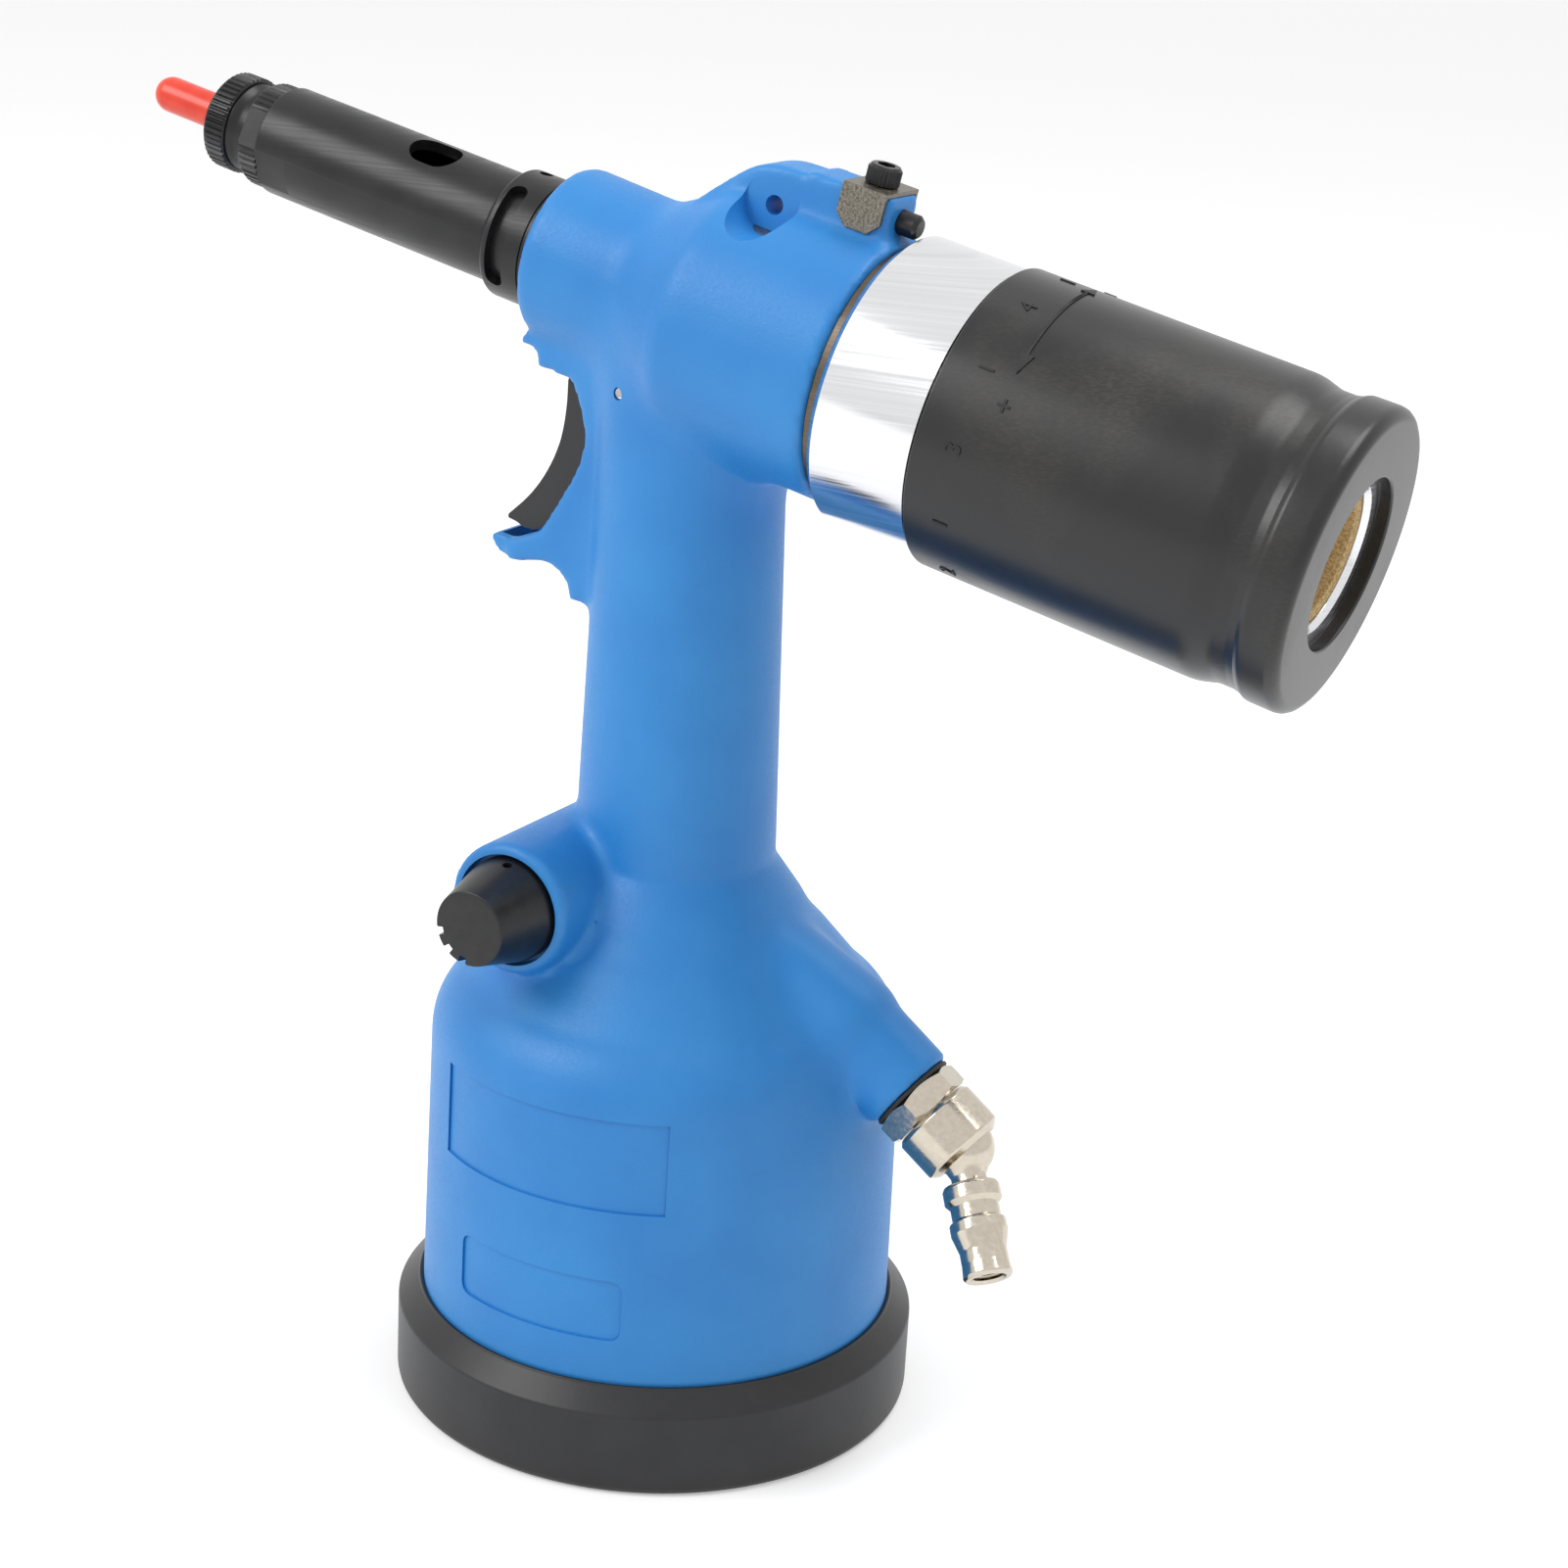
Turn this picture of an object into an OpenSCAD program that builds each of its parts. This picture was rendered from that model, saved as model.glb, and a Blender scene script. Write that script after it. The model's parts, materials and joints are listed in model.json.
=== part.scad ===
// Pneumatic rivet gun: a moulded body on an air cylinder, an oil-driven drawbar and an air motor.
// The air cylinder stands on Z with its foot at Z = 0. The barrel points its nose to -X and leans
// back by barrel_tilt. "Station" is a distance along the barrel, from the handle's axis to the rear.

/* [Base] */
// Radius of the moulded base at its foot
base_r = 53; // [51:0.5:57]
// How much narrower the base is below its shoulder than at its foot
base_draft = 0.8; // [0:0.1:2]
// Height at which the shoulder starts to round over
shoulder_z = 84; // [80:1:90]
// How far the rubber cup stands out round the base
cup_out = 5.6; // [4.6:0.2:8]
// Height of the cup at its chamfer's lower edge
ring_edge_z = 18.8; // [12:0.2:20]
// Height of the cup at the moulded body
ring_top_z = 24; // [22:0.5:30]
// Wall of the moulded body round the air cylinder
base_wall = 3; // [2:0.25:4]
// Wall of the air cylinder liner
liner_wall = 2.5; // [2:0.25:4]
// Thickness of the bottom cover
cover_t = 5; // [4:0.5:7]

/* [Handle] */
// Radius of the handle where it meets the shoulder
handle_low_r = 22; // [21:0.25:24]
// Radius of the handle under the head
handle_top_r = 19.9; // [19:0.1:21.5]
// Height of the handle's lower end
neck_z = 126.5; // [122:0.5:132]
// Outer radius of the oil tube inside the handle
oil_tube_r = 11; // [10:0.25:12]
// Height of the top of the oil tube
oil_tube_top_z = 210; // [200:1:212]
// Radius of the ram that the air piston drives into the oil tube
ram_r = 7; // [6:0.25:8]

/* [Barrel line] */
// Height at which the barrel's axis crosses the handle's axis
axis_z = 245.8; // [240:0.2:252]
// Lean of the barrel, nose up, in degrees
barrel_tilt = 11.85; // [8:0.05:14]

/* [Head] */
// Radius of the head at its nose end
head_front_r = 18.7; // [18:0.1:20]
// Station of the head's front face
head_front_s = -34.5; // [-38:0.5:-33]
// Radius of the head at its rear end
head_rear_r = 28; // [27:0.1:29]
// Station of the head's rear face
head_rear_s = 41.8; // [40:0.2:43]
// Radius of the oil chamber
chamber_r = 20; // [18:0.25:21]
// Station of the chamber's front end
chamber_s = 5; // [4:0.5:6]
// Radius of the drawbar
drawbar_r = 7.5; // [6.5:0.25:8]
// Width of the fin on top of the head
fin_w = 12; // [11:0.5:14]
// How far the fin's rear block stands over the lock pin
fin_over_pin = 2.2; // [1.8:0.1:4]
// Radius of the hanging hole through the fin
hang_hole_r = 2; // [1.5:0.1:2.5]

/* [Nose] */
// Radius of the nose barrel
nose_r = 12; // [11.5:0.1:12.5]
// Station of the nose barrel's front end
nose_front_s = -109; // [-115:1:-100]
// Radius of the slotted collar
collar_r = 14; // [13.5:0.1:14.5]
// Station of the slotted collar's front face
collar_front_s = -47.2; // [-50:0.2:-46]
// Width of the collar's long slot
collar_slot_w = 4.2; // [3:0.2:5]
// Length of the window in the nose barrel
window_l = 12; // [10:0.5:16]
// Width of the window in the nose barrel
window_w = 8.8; // [6:0.2:10]
// Radius of the knurled anvil
anvil_r = 10.7; // [10:0.1:11.5]
// Length of the lock nut
lock_nut_l = 5; // [4:0.25:7]
// Gap between the lock nut and the anvil's knurled band
anvil_neck_l = 5; // [3:0.25:7]
// Length of the anvil's knurled band
anvil_band_l = 6; // [4:0.25:8]
// Radius of the mandrel
mandrel_r = 3; // [2.5:0.1:3]
// Length of mandrel that stands out of the anvil
mandrel_out_l = 17.5; // [12:0.5:24]
// Wall of the soft protective cap
cap_wall = 0.8; // [0.6:0.1:1]

/* [Rear] */
// Radius of the polished adjuster sleeve
sleeve_r = 30.3; // [29.8:0.1:31]
// Station of the rubber boot's front edge
boot_front_s = 67.5; // [60:0.5:80]
// Radius of the rubber boot
boot_r = 31.2; // [31:0.1:33]
// Station of the boot's rear face
boot_rear_s = 147.5; // [140:0.5:155]
// Radius of the exhaust mouth in the boot's rear face
mouth_r = 17.5; // [15:0.25:19]
// Thickness of the boot's rear wall
boot_end_t = 3; // [2:0.25:5]
// Radius of the air motor's cylinder
motor_r = 24; // [22:0.25:24.5]
// Radius of the motor's rotor
rotor_r = 15.5; // [13:0.25:16]

/* [Trigger] */
// Width of the trigger
trigger_w = 12; // [10:0.5:13]
// Thickness of each cheek beside the trigger
cheek_t = 3; // [2.5:0.25:4]
// Distance of the trigger's pivot in front of the handle's axis
pivot_x = 8; // [7.5:0.1:8.5]
// Height of the trigger's pivot
pivot_z = 228.8; // [228:0.1:229.5]
// Radius of the trigger's pin
trigger_pin_r = 1.3; // [1:0.05:1.5]
// Distance of the trigger rod in front of the handle's axis
rod_x = 16.5; // [16:0.1:17]
// Radius of the trigger rod
rod_r = 1.5; // [1.2:0.1:1.6]

/* [Regulator] */
// Distance of the valve bore in front of the handle's axis
valve_x = 17.2; // [16.5:0.1:18]
// Height of the valve bore
valve_z = 120.3; // [119:0.1:121]
// Radius of the moulded boss round the knob
knob_boss_r = 14.5; // [14:0.1:16]
// Distance of the boss's mouth from the handle's axis
knob_boss_y = 40; // [38:0.5:44]
// Radius of the knob at the boss's mouth
knob_low_r = 11.4; // [10.5:0.1:12]
// Radius of the knob at its face
knob_face_r = 8.1; // [7.5:0.1:9]
// How far the knob stands out of the boss
knob_out_l = 14; // [10:0.5:18]

/* [Air inlet] */
// Slope of the inlet below level, in degrees
inlet_slope = 36; // [30:1:40]
// Distance of the inlet boss's mouth from the handle's axis
inlet_x = 61.15; // [60:0.25:64]
// Height of the inlet boss's mouth
inlet_z = 84.95; // [82:0.25:88]
// Radius of the inlet boss
inlet_boss_r = 10.6; // [10:0.1:12]
// Width across flats of the inlet adapter's hexagon
inlet_hex_af = 18; // [16:0.5:19]
// Radius of the swivel sleeve
swivel_r = 9.7; // [9:0.1:10]
// Length of the swivel sleeve
swivel_l = 11; // [10:0.5:13]
// Radius of the plug's ball
ball_r = 6.9; // [6.5:0.1:7.2]
// Lean of the plug from the inlet's axis, in degrees
plug_lean = 34; // [20:1:35]
// Direction of the lean, in degrees round the inlet's axis from its upper side
plug_lean_dir = 121; // [90:1:150]
// Length of the plug from the ball's centre
plug_l = 29; // [25:0.5:34]
// Radius of the plug's air passage
plug_bore_r = 3.4; // [2.5:0.1:3.6]

/* [Clearances] */
// Gap between pieces that move past each other
gap = 0.3; // [0.2:0.05:0.5]
// Gap round a pin or a shaft in its hole
shaft_gap = 0.06; // [0.03:0.01:0.1]
// Gap between fixed pieces that seat in each other
seat_gap = 0.05; // [0.02:0.01:0.1]

/* [Hidden] */

$fn = 64;
fine = 96;
eps = 0.01;

// Base
base_foot_z = 3;
ring_r = base_r + cup_out;
liner_r = base_r - base_draft - base_wall;
bore_r = liner_r - liner_wall;
clip_ring_t = 1.6;
cover_z = base_foot_z + clip_ring_t + 0.2;
bore_low_z = cover_z + cover_t;
bore_top_z = shoulder_z - 2;
shoulder_r = base_r - base_draft;
cone_low = [34.4, 109.6];
piston_t = 11;
piston_z = bore_low_z + 2.5;
return_spring_r = 30;
gland_l = 12;
gland_r = oil_tube_r + 2.5;

// Handle
oil_tube_bore_r = ram_r + 1;
oil_port_r = 2;
oil_port_x = 4.5;
ram_top_z = bore_top_z + 30;

// Head and nose
head_fillet = 2.8;
flare_start_s = -10;
flare_end_s = 8;
head_cyl_wall = 2.5;
head_cyl_r = chamber_r + head_cyl_wall;
chamber_end_s = head_rear_s - 3.6;
draw_piston_s = chamber_s + 6;
draw_piston_t = 10;
draw_stroke = 8;
nose_bore_r = nose_r - 2.4;
nose_tail_s = head_front_s + 16;
guide_s = nose_tail_s + seat_gap;
lock_nut_s = nose_front_s - lock_nut_l;
band_s = lock_nut_s - anvil_neck_l;
anvil_face_s = band_s - anvil_band_l;
anvil_shank_r = 7.4;
anvil_shank_l = 12;
cap_r = mandrel_r + gap / 2 + cap_wall;
cap_mouth_s = anvil_face_s + 3;
mandrel_tip_s = anvil_face_s - mandrel_out_l;
cap_tip_s = mandrel_tip_s - 2.7 - cap_wall;
mandrel_root_s = nose_front_s + 34;
coupling_r = 6.2;
coupling_l = 22;
shaft_r = 3.4;
drawbar_tip_s = mandrel_root_s + coupling_l - 8;
collar_end_s = head_front_s + 3;

// Fin, lock pin and clamp
hang_hole_h = 26.9;
hang_hole_s = 14.3;
lock_pin_r = 2.5;
lock_pin_h = sleeve_r + 0.9;
lock_pin_in_l = 9;
fin_h = lock_pin_h + lock_pin_r + fin_over_pin;
fin_rear_s = 39.4;
fin_crest = [[-9, 21.9], [-6, 16.9], [-1.9, 11.9], [3.4, 6.7], [6.2, 3.9], [9, 2.1], [12, 1.2],
             [15, 0.9], [19.8, 1], [20.5, 0], [fin_rear_s, 0]];
clamp_s = 33.3;
clamp_l = 10;
clamp_t = 0.9;
clamp_h = fin_h + seat_gap;
clamp_drop = 7.8;
screw_r = 2;
screw_head_r = 3.5;
screw_head_h = 4;

// Motor and rear
end_ring_r = head_rear_r - 1.4;
motor_s = head_rear_s + 3.3;
motor_plate_t = 6;
motor_l = 58;
motor_end_s = motor_s + 2 * motor_plate_t + motor_l;
motor_offset = 2;
motor_bore_r = rotor_r + motor_offset + gap;
rotor_gap = 0.6;
bearing_r = 9;
rotor_shaft_r = 5;
vane_count = 5;
vane_t = 2;
vane_h = 6;
sleeve_front_s = head_rear_s + 2.4;
lock_pin_out_l = sleeve_front_s - gap - fin_rear_s;
sleeve_chamfer = 1.6;
sleeve_bore_r = motor_r + gap;
boot_seat_r = boot_r - 2.6;
muffler_s = boot_rear_s - boot_end_t - 9;
muffler_ring_t = 3;
muffler_ring_s = boot_rear_s - boot_end_t - muffler_ring_t;
muffler_r = mouth_r - 3.2;
sleeve_end_s = muffler_ring_s - 2 - seat_gap;

// Trigger and its rod
slot_w = trigger_w + 2 * gap;
guard_w = slot_w + 2 * cheek_t;
slot_floor_z = 189.4;
foot_floor_z = 211.4;
rod_top_z = 211.9;
rod_low_z = valve_z + 4.6;
spring_seat_z = 160;
rod_collar_r = 2.4;
rod_bore_r = rod_r + 0.15;
spring_bore_r = 3;
rod_collar_z = 182;

// Regulator
stem_r = 3.6;
stem_l = 20;
mouth_depth = 3.2;
knob_boss_in_y = 8;

// Air inlet
lump_r = 13;
lump_in_s = 20;
lump_drop = 1.75;
lump_slope = 26;
seal_t = 1;
hex_t = 5.4;
inlet_shank_r = 6.5;
inlet_shank_l = 12;
swivel_s = seal_t + hex_t + gap;
ball_s = swivel_s + swivel_l - 1.4;
stem_out_l = 6;

// Points on a circle of radius r about c, from angle a0 to angle a1
function arc(c, r, a0, a1, n = 8) =
    [for (i = [0 : n]) let (a = a0 + (a1 - a0) * i / n) [c[0] + r * cos(a), c[1] + r * sin(a)]];

// Places a child built along Z, with its upper side to +X, on the barrel's line
module at_barrel(s = 0)
    translate([0, 0, axis_z]) rotate([0, 90 + barrel_tilt, 0]) rotate(180) translate([0, 0, s]) children();

// Places a child built along Z on the inlet's line, from the boss's mouth outwards
module at_inlet(s = 0)
    translate([inlet_x, 0, inlet_z]) rotate([0, 90 + inlet_slope, 0]) rotate(180) translate([0, 0, s]) children();

// Places a child built along Z on the plug's line, from the ball's centre outwards
module at_plug() at_inlet(ball_s) rotate(plug_lean_dir) rotate([0, plug_lean, 0]) children();

// Places a child built along Z on the valve's line, from the handle's plane towards -Y
module at_valve(y = 0) translate([-valve_x, -y, valve_z]) rotate([90, 0, 0]) children();

// Extrudes an outline drawn in X and Z to the width w, centred on Y = 0
module upright(w) rotate([90, 0, 0]) linear_extrude(w, center = true) children();

module tube(r, bore, l) difference() {
    cylinder(h = l, r = r, $fn = fine);
    translate([0, 0, -1]) cylinder(h = l + 2, r = bore, $fn = fine);
}

// A round bar with a straight-toothed knurl
module knurled(r, l, teeth, depth) linear_extrude(l)
    polygon([for (i = [0 : 2 * teeth - 1]) let (a = 180 * i / teeth, q = r - (i % 2) * depth)
        [q * cos(a), q * sin(a)]]);

// An unbroken round wire wound as a coil from height z0 to height z1
module coil(r, wire, z0, z1, turns, sides = 6, steps = 14) {
    n = turns * steps;
    centre = [for (i = [0 : n]) let (a = 360 * i / steps, q = i / n)
        [r * cos(a), r * sin(a), z0 + wire + (z1 - z0 - 2 * wire) * q]];
    points = [for (i = [0 : n]) let (a = 360 * i / steps) for (k = [0 : sides - 1])
        let (b = 360 * k / sides, q = r + wire * cos(b))
        [q * cos(a), q * sin(a), centre[i][2] + wire * sin(b)]];
    faces = concat(
        [[for (k = [0 : sides - 1]) k]],
        [for (i = [0 : n - 1]) for (k = [0 : sides - 1]) let (a = i * sides + k, b = i * sides + (k + 1) % sides)
            each [[a, a + sides, b], [b, a + sides, b + sides]]],
        [[for (k = [sides - 1 : -1 : 0]) n * sides + k]]);
    polyhedron(points, faces);
}

module base_cup() color("#1c1c1e") rotate_extrude($fn = fine) polygon(concat(
    [[0, 0], [ring_r - 2, 0]],
    arc([ring_r - 2, 2], 2, -90, 0, 6),
    [[ring_r, ring_edge_z], [base_r + 0.4, ring_top_z], [base_r + seat_gap, ring_top_z - 0.2],
     [base_r + seat_gap, base_foot_z], [0, base_foot_z]]));

module bottom_cover() color("#8d9196") translate([0, 0, cover_z]) difference() {
    union() {
        cylinder(h = cover_t, r = liner_r - seat_gap, $fn = fine);
        cylinder(h = cover_t + 2, r = bore_r - 8, $fn = fine);
    }
    translate([0, 0, cover_t - 1]) cylinder(h = 5, r = bore_r - 14, $fn = fine);
    translate([0, 0, -1]) for (a = [45, 135]) rotate(a)
        translate([-bore_r * 0.6, -2, 0]) cube([bore_r * 1.2, 4, 2.5]);
}

module cover_clip_ring() color("#5b5e62") translate([0, 0, base_foot_z + 0.1]) difference() {
    tube(liner_r - seat_gap, liner_r - 5, clip_ring_t);
    translate([0, -3, -1]) cube([liner_r + 2, 6, clip_ring_t + 2]);
}

module air_cylinder() color("#a9adb3") translate([0, 0, bore_low_z]) difference() {
    cylinder(h = bore_top_z - bore_low_z, r = liner_r - seat_gap, $fn = fine);
    translate([0, 0, -1]) cylinder(h = bore_top_z - bore_low_z - 2, r = bore_r, $fn = fine);
    translate([0, 0, -1]) cylinder(h = bore_top_z, r = gland_r + seat_gap);
}

module air_piston() color("#b8bbc0") translate([0, 0, piston_z]) difference() {
    cylinder(h = piston_t, r = bore_r - gap, $fn = fine);
    translate([0, 0, 3.5]) tube(bore_r + 1, bore_r - 3.2, 4);
    translate([0, 0, -1]) tube(bore_r - 7, 12, 5);
    translate([0, 0, -1]) cylinder(h = piston_t + 2, r = ram_r - 2 + seat_gap);
}

module air_piston_seal() color("#202020") translate([0, 0, piston_z + 3.5 + seat_gap])
    tube(bore_r - 0.1, bore_r - 3.2 + seat_gap, 4 - 2 * seat_gap);

module ram() color("#c9ccd1") {
    translate([0, 0, piston_z + piston_t]) cylinder(h = ram_top_z - piston_z - piston_t, r = ram_r - shaft_gap);
    translate([0, 0, piston_z - 3]) cylinder(h = piston_t + 3, r = ram_r - 2);
    translate([0, 0, piston_z - 3]) linear_extrude(3) circle(r = 6.9, $fn = 6);
}

module ram_gland() color("#b08d57") translate([0, 0, bore_top_z - 6]) difference() {
    union() {
        cylinder(h = gland_l + 3, r = gland_r);
        cylinder(h = 3 - seat_gap, r = gland_r + 3);
    }
    translate([0, 0, -1]) cylinder(h = gland_l + 5, r = ram_r);
}

module oil_tube() color("#9a9da1") difference() {
    translate([0, 0, bore_top_z - 3 + gland_l + seat_gap])
        cylinder(h = oil_tube_top_z - bore_top_z + 3 - gland_l, r = oil_tube_r - seat_gap);
    translate([0, 0, bore_top_z]) cylinder(h = oil_tube_top_z - bore_top_z - 4, r = oil_tube_bore_r);
    translate([oil_port_x, 0, oil_tube_top_z - 5]) cylinder(h = 10, r = oil_port_r);
}

// Outline of base, shoulder and handle, from the foot up, in radius and height
function body_outline() = concat(
    [[0, base_foot_z], [base_r, base_foot_z], [base_r, ring_top_z], [shoulder_r, shoulder_z]],
    arc([shoulder_r - 17, shoulder_z], 17, 8, 57, 7),
    arc([51, 128.5], 25, 229, 207, 4),
    [[handle_low_r, neck_z], [handle_top_r, 205], [handle_top_r, 241], [0, 241]]);

// Outline of the head, from the nose end to the rear end, in radius and station
function head_outline() = concat(
    [[0, head_front_s], [head_front_r - head_fillet, head_front_s]],
    arc([head_front_r - head_fillet, head_front_s + head_fillet], head_fillet, -90, 0, 5),
    [[head_front_r - 0.3, flare_start_s - 6]],
    arc([head_front_r + 13.7, flare_start_s - 6], 14, 180, 146, 5),
    arc([head_rear_r - 8.6, flare_end_s + 6], 8, -34, 0, 4),
    [[head_rear_r, head_rear_s - 0.6], [head_rear_r - 0.6, head_rear_s], [0, head_rear_s]]);

module fin() at_barrel() difference() {
    rotate([90, 0, 0]) linear_extrude(fin_w, center = true) polygon(concat(
        [[14, fin_rear_s], [14, fin_crest[0][0]]], [for (p = fin_crest) [fin_h - p[1], p[0]]]));
    for (side = [-1, 1]) translate([fin_h, side * fin_w / 2, fin_rear_s - 12]) rotate(45)
        cube([0.9, 0.9, 28], center = true);
}

module trigger_guard() {
    upright(guard_w) polygon(concat(
        [[-33.9, 229.2], [-34.2, 233.2], [-39, 234.2], [-30, 245], [0, 245], [0, 180]],
        arc([-31.5, 180.3], 7.3, 0, 95, 5),
        [[-37.6, 186.6], [-40.4, 186.7]],
        arc([-40.8, 191.4], 4.7, 270, 180, 5),
        [[-40.2, 191.4], [-32.2, 194.2], [-28.7, 199.8], [-24.8, 206.3], [-22.3, 211.6], [-21.6, 217.2],
         [-23.4, 223.3], [-25.6, 228.2], [-29.3, 228.4], [-29.8, 229.2]]));
}

module housing() color("#2e86c9") difference() {
    union() {
        rotate_extrude($fn = fine) polygon(body_outline());
        at_barrel() rotate_extrude($fn = fine) polygon(head_outline());
        fin();
        trigger_guard();
        at_valve(-knob_boss_in_y) cylinder(h = knob_boss_y + knob_boss_in_y, r = knob_boss_r);
        at_valve(-knob_boss_in_y - 0.2) sphere(r = knob_boss_r + 0.1);
        at_inlet(-lump_in_s) cylinder(h = lump_in_s, r = inlet_boss_r);
        inlet_lump();
    }
    // Air cylinder and its gland
    translate([0, 0, -1]) cylinder(h = bore_top_z + 1 + seat_gap, r = liner_r, $fn = fine);
    translate([0, 0, bore_top_z - 1]) cylinder(h = gland_l - 2 + seat_gap, r = gland_r + seat_gap);
    translate([0, 0, bore_top_z + 8]) cylinder(h = oil_tube_top_z - bore_top_z - 8 + seat_gap, r = oil_tube_r);
    translate([oil_port_x, 0, oil_tube_top_z - 1]) cylinder(h = 20, r = oil_port_r);
    // Head
    at_barrel(chamber_s - 2) cylinder(h = 60, r = head_cyl_r + seat_gap, $fn = fine);
    at_barrel(guide_s) cylinder(h = 40, r = drawbar_r + gap);
    at_barrel(head_front_s - 1) cylinder(h = nose_tail_s - head_front_s + 1 + seat_gap, r = nose_r + seat_gap);
    at_barrel(head_front_s - 1) cylinder(h = collar_end_s - head_front_s + 1 + seat_gap, r = collar_r + seat_gap);
    // Fin: hanging hole with its scoops, lock pin and clamp screw
    at_barrel() translate([hang_hole_h, 0, hang_hole_s]) rotate([90, 0, 0])
        cylinder(h = 60, r = hang_hole_r, center = true);
    for (side = [-1, 1]) at_barrel() translate([hang_hole_h + 0.4, side * (fin_w / 2 + 6), hang_hole_s - 0.6])
        rotate([90, 0, 0]) cylinder(h = 12, r = 6, center = true);
    at_barrel(fin_rear_s - lock_pin_in_l - 5) translate([lock_pin_h, 0, 0])
        cylinder(h = 30, r = lock_pin_r + shaft_gap);
    at_barrel(clamp_s) translate([fin_h + 5, 0, 0]) rotate([0, -90, 0])
        cylinder(h = 5 + fin_h - lock_pin_h, r = screw_r + shaft_gap);
    // Trigger slot, pin and rod
    translate([-43.4, -slot_w / 2, slot_floor_z]) cube([43.4 - rod_x + 3, slot_w, 229 - slot_floor_z]);
    translate([-24, -slot_w / 2, foot_floor_z]) cube([24 - pivot_x + 4.2, slot_w, 233 - foot_floor_z]);
    translate([-pivot_x, 0, pivot_z]) rotate([90, 0, 0]) cylinder(h = 80, r = trigger_pin_r, center = true);
    translate([-rod_x, 0, rod_low_z - 1]) cylinder(h = 70, r = rod_bore_r);
    translate([-rod_x, 0, spring_seat_z]) cylinder(h = 60, r = spring_bore_r);
    // Regulator bore
    at_valve(knob_boss_y - mouth_depth) cylinder(h = 20, r = knob_low_r + 0.8);
    at_valve(knob_boss_y - mouth_depth - stem_l - 1) cylinder(h = stem_l + 5, r = stem_r + shaft_gap);
    at_valve(knob_boss_y - mouth_depth - stem_l - 1) cylinder(h = 8, r = 1.2);
    // Inlet bore
    at_inlet(-inlet_shank_l - 1) cylinder(h = inlet_shank_l + 5, r = inlet_shank_r + seat_gap);
    // Recessed panels on the base's near side
    recessed_panel(63.2, 84, 31.8, 0);
    recessed_panel(33.5, 47.6, 22.6, 2.2);
}

// The swelling on the shoulder that the inlet boss grows out of
module inlet_lump() at_inlet(-lump_in_s) translate([-lump_drop, 0, 0]) {
    sphere(r = lump_r);
    rotate([0, inlet_slope - lump_slope, 0]) translate([0, 0, -26]) cylinder(h = 29, r = lump_r - 0.1);
}

// A shallow recess on the base between two heights and plus or minus half_a degrees
module recessed_panel(z0, z1, half_a, corner) difference() {
    upright(2 * base_r + 20) difference() {
        translate([-base_r * sin(half_a), z0]) square([2 * base_r * sin(half_a), z1 - z0]);
        if (corner > 0) for (i = [0, 1], j = [0, 1])
            translate([(2 * i - 1) * base_r * sin(half_a), j == 0 ? z0 : z1]) mirror([i, 0]) mirror([0, j])
                difference() {
                    square(2 * corner, center = true);
                    translate([corner, corner]) circle(corner);
                }
    }
    rotate_extrude($fn = fine) polygon([[0, 0], [base_r - 0.5, 0], [base_r - 0.5, ring_top_z],
        [shoulder_r - 0.5, shoulder_z], [shoulder_r - 3, shoulder_z + 14], [0, shoulder_z + 14]]);
    translate([-100, 0, 0]) cube([200, 100, 200]);
}

module head_cylinder() color("#8f9398") at_barrel() difference() {
    translate([0, 0, chamber_s - 2]) cylinder(h = chamber_end_s - chamber_s + 2, r = head_cyl_r, $fn = fine);
    translate([0, 0, chamber_s]) cylinder(h = 60, r = chamber_r, $fn = fine);
    translate([0, 0, chamber_s - 3]) cylinder(h = 60, r = drawbar_r + gap);
    translate([-chamber_r - 10, 0, chamber_s + 3]) rotate([0, 90, 0]) cylinder(h = 14, r = oil_port_r + 0.6);
}

module draw_piston() color("#c3c6ca") at_barrel() difference() {
    union() {
        translate([0, 0, draw_piston_s]) cylinder(h = draw_piston_t, r = chamber_r - gap, $fn = fine);
        translate([0, 0, drawbar_tip_s]) cylinder(h = draw_piston_s - drawbar_tip_s + 1, r = drawbar_r - shaft_gap);
    }
    translate([0, 0, draw_piston_s + 3]) tube(chamber_r + 1, chamber_r - 3.2, 4);
    translate([0, 0, drawbar_tip_s - 1]) cylinder(h = 200, r = shaft_r + gap);
    translate([0, 0, drawbar_tip_s - 1]) cylinder(h = 9.4, r = coupling_r + shaft_gap);
}

module draw_piston_seal() color("#202020") at_barrel(draw_piston_s + 3 + seat_gap)
    tube(chamber_r - 0.1, chamber_r - 3.2 + seat_gap, 4 - 2 * seat_gap);

module return_spring() color("#6a6d72")
    coil(return_spring_r, 1.4, piston_z + piston_t + 0.3, bore_top_z - 3.3, 4, 6, 20);

module head_end_ring() color("#6d635a") at_barrel(chamber_end_s + seat_gap) difference() {
    union() {
        cylinder(h = head_rear_s - chamber_end_s, r = head_cyl_r - seat_gap, $fn = fine);
        translate([0, 0, head_rear_s - chamber_end_s]) cylinder(h = 2.1, r = end_ring_r, $fn = fine);
    }
    translate([0, 0, -1]) cylinder(h = 20, r = 9);
}

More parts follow.
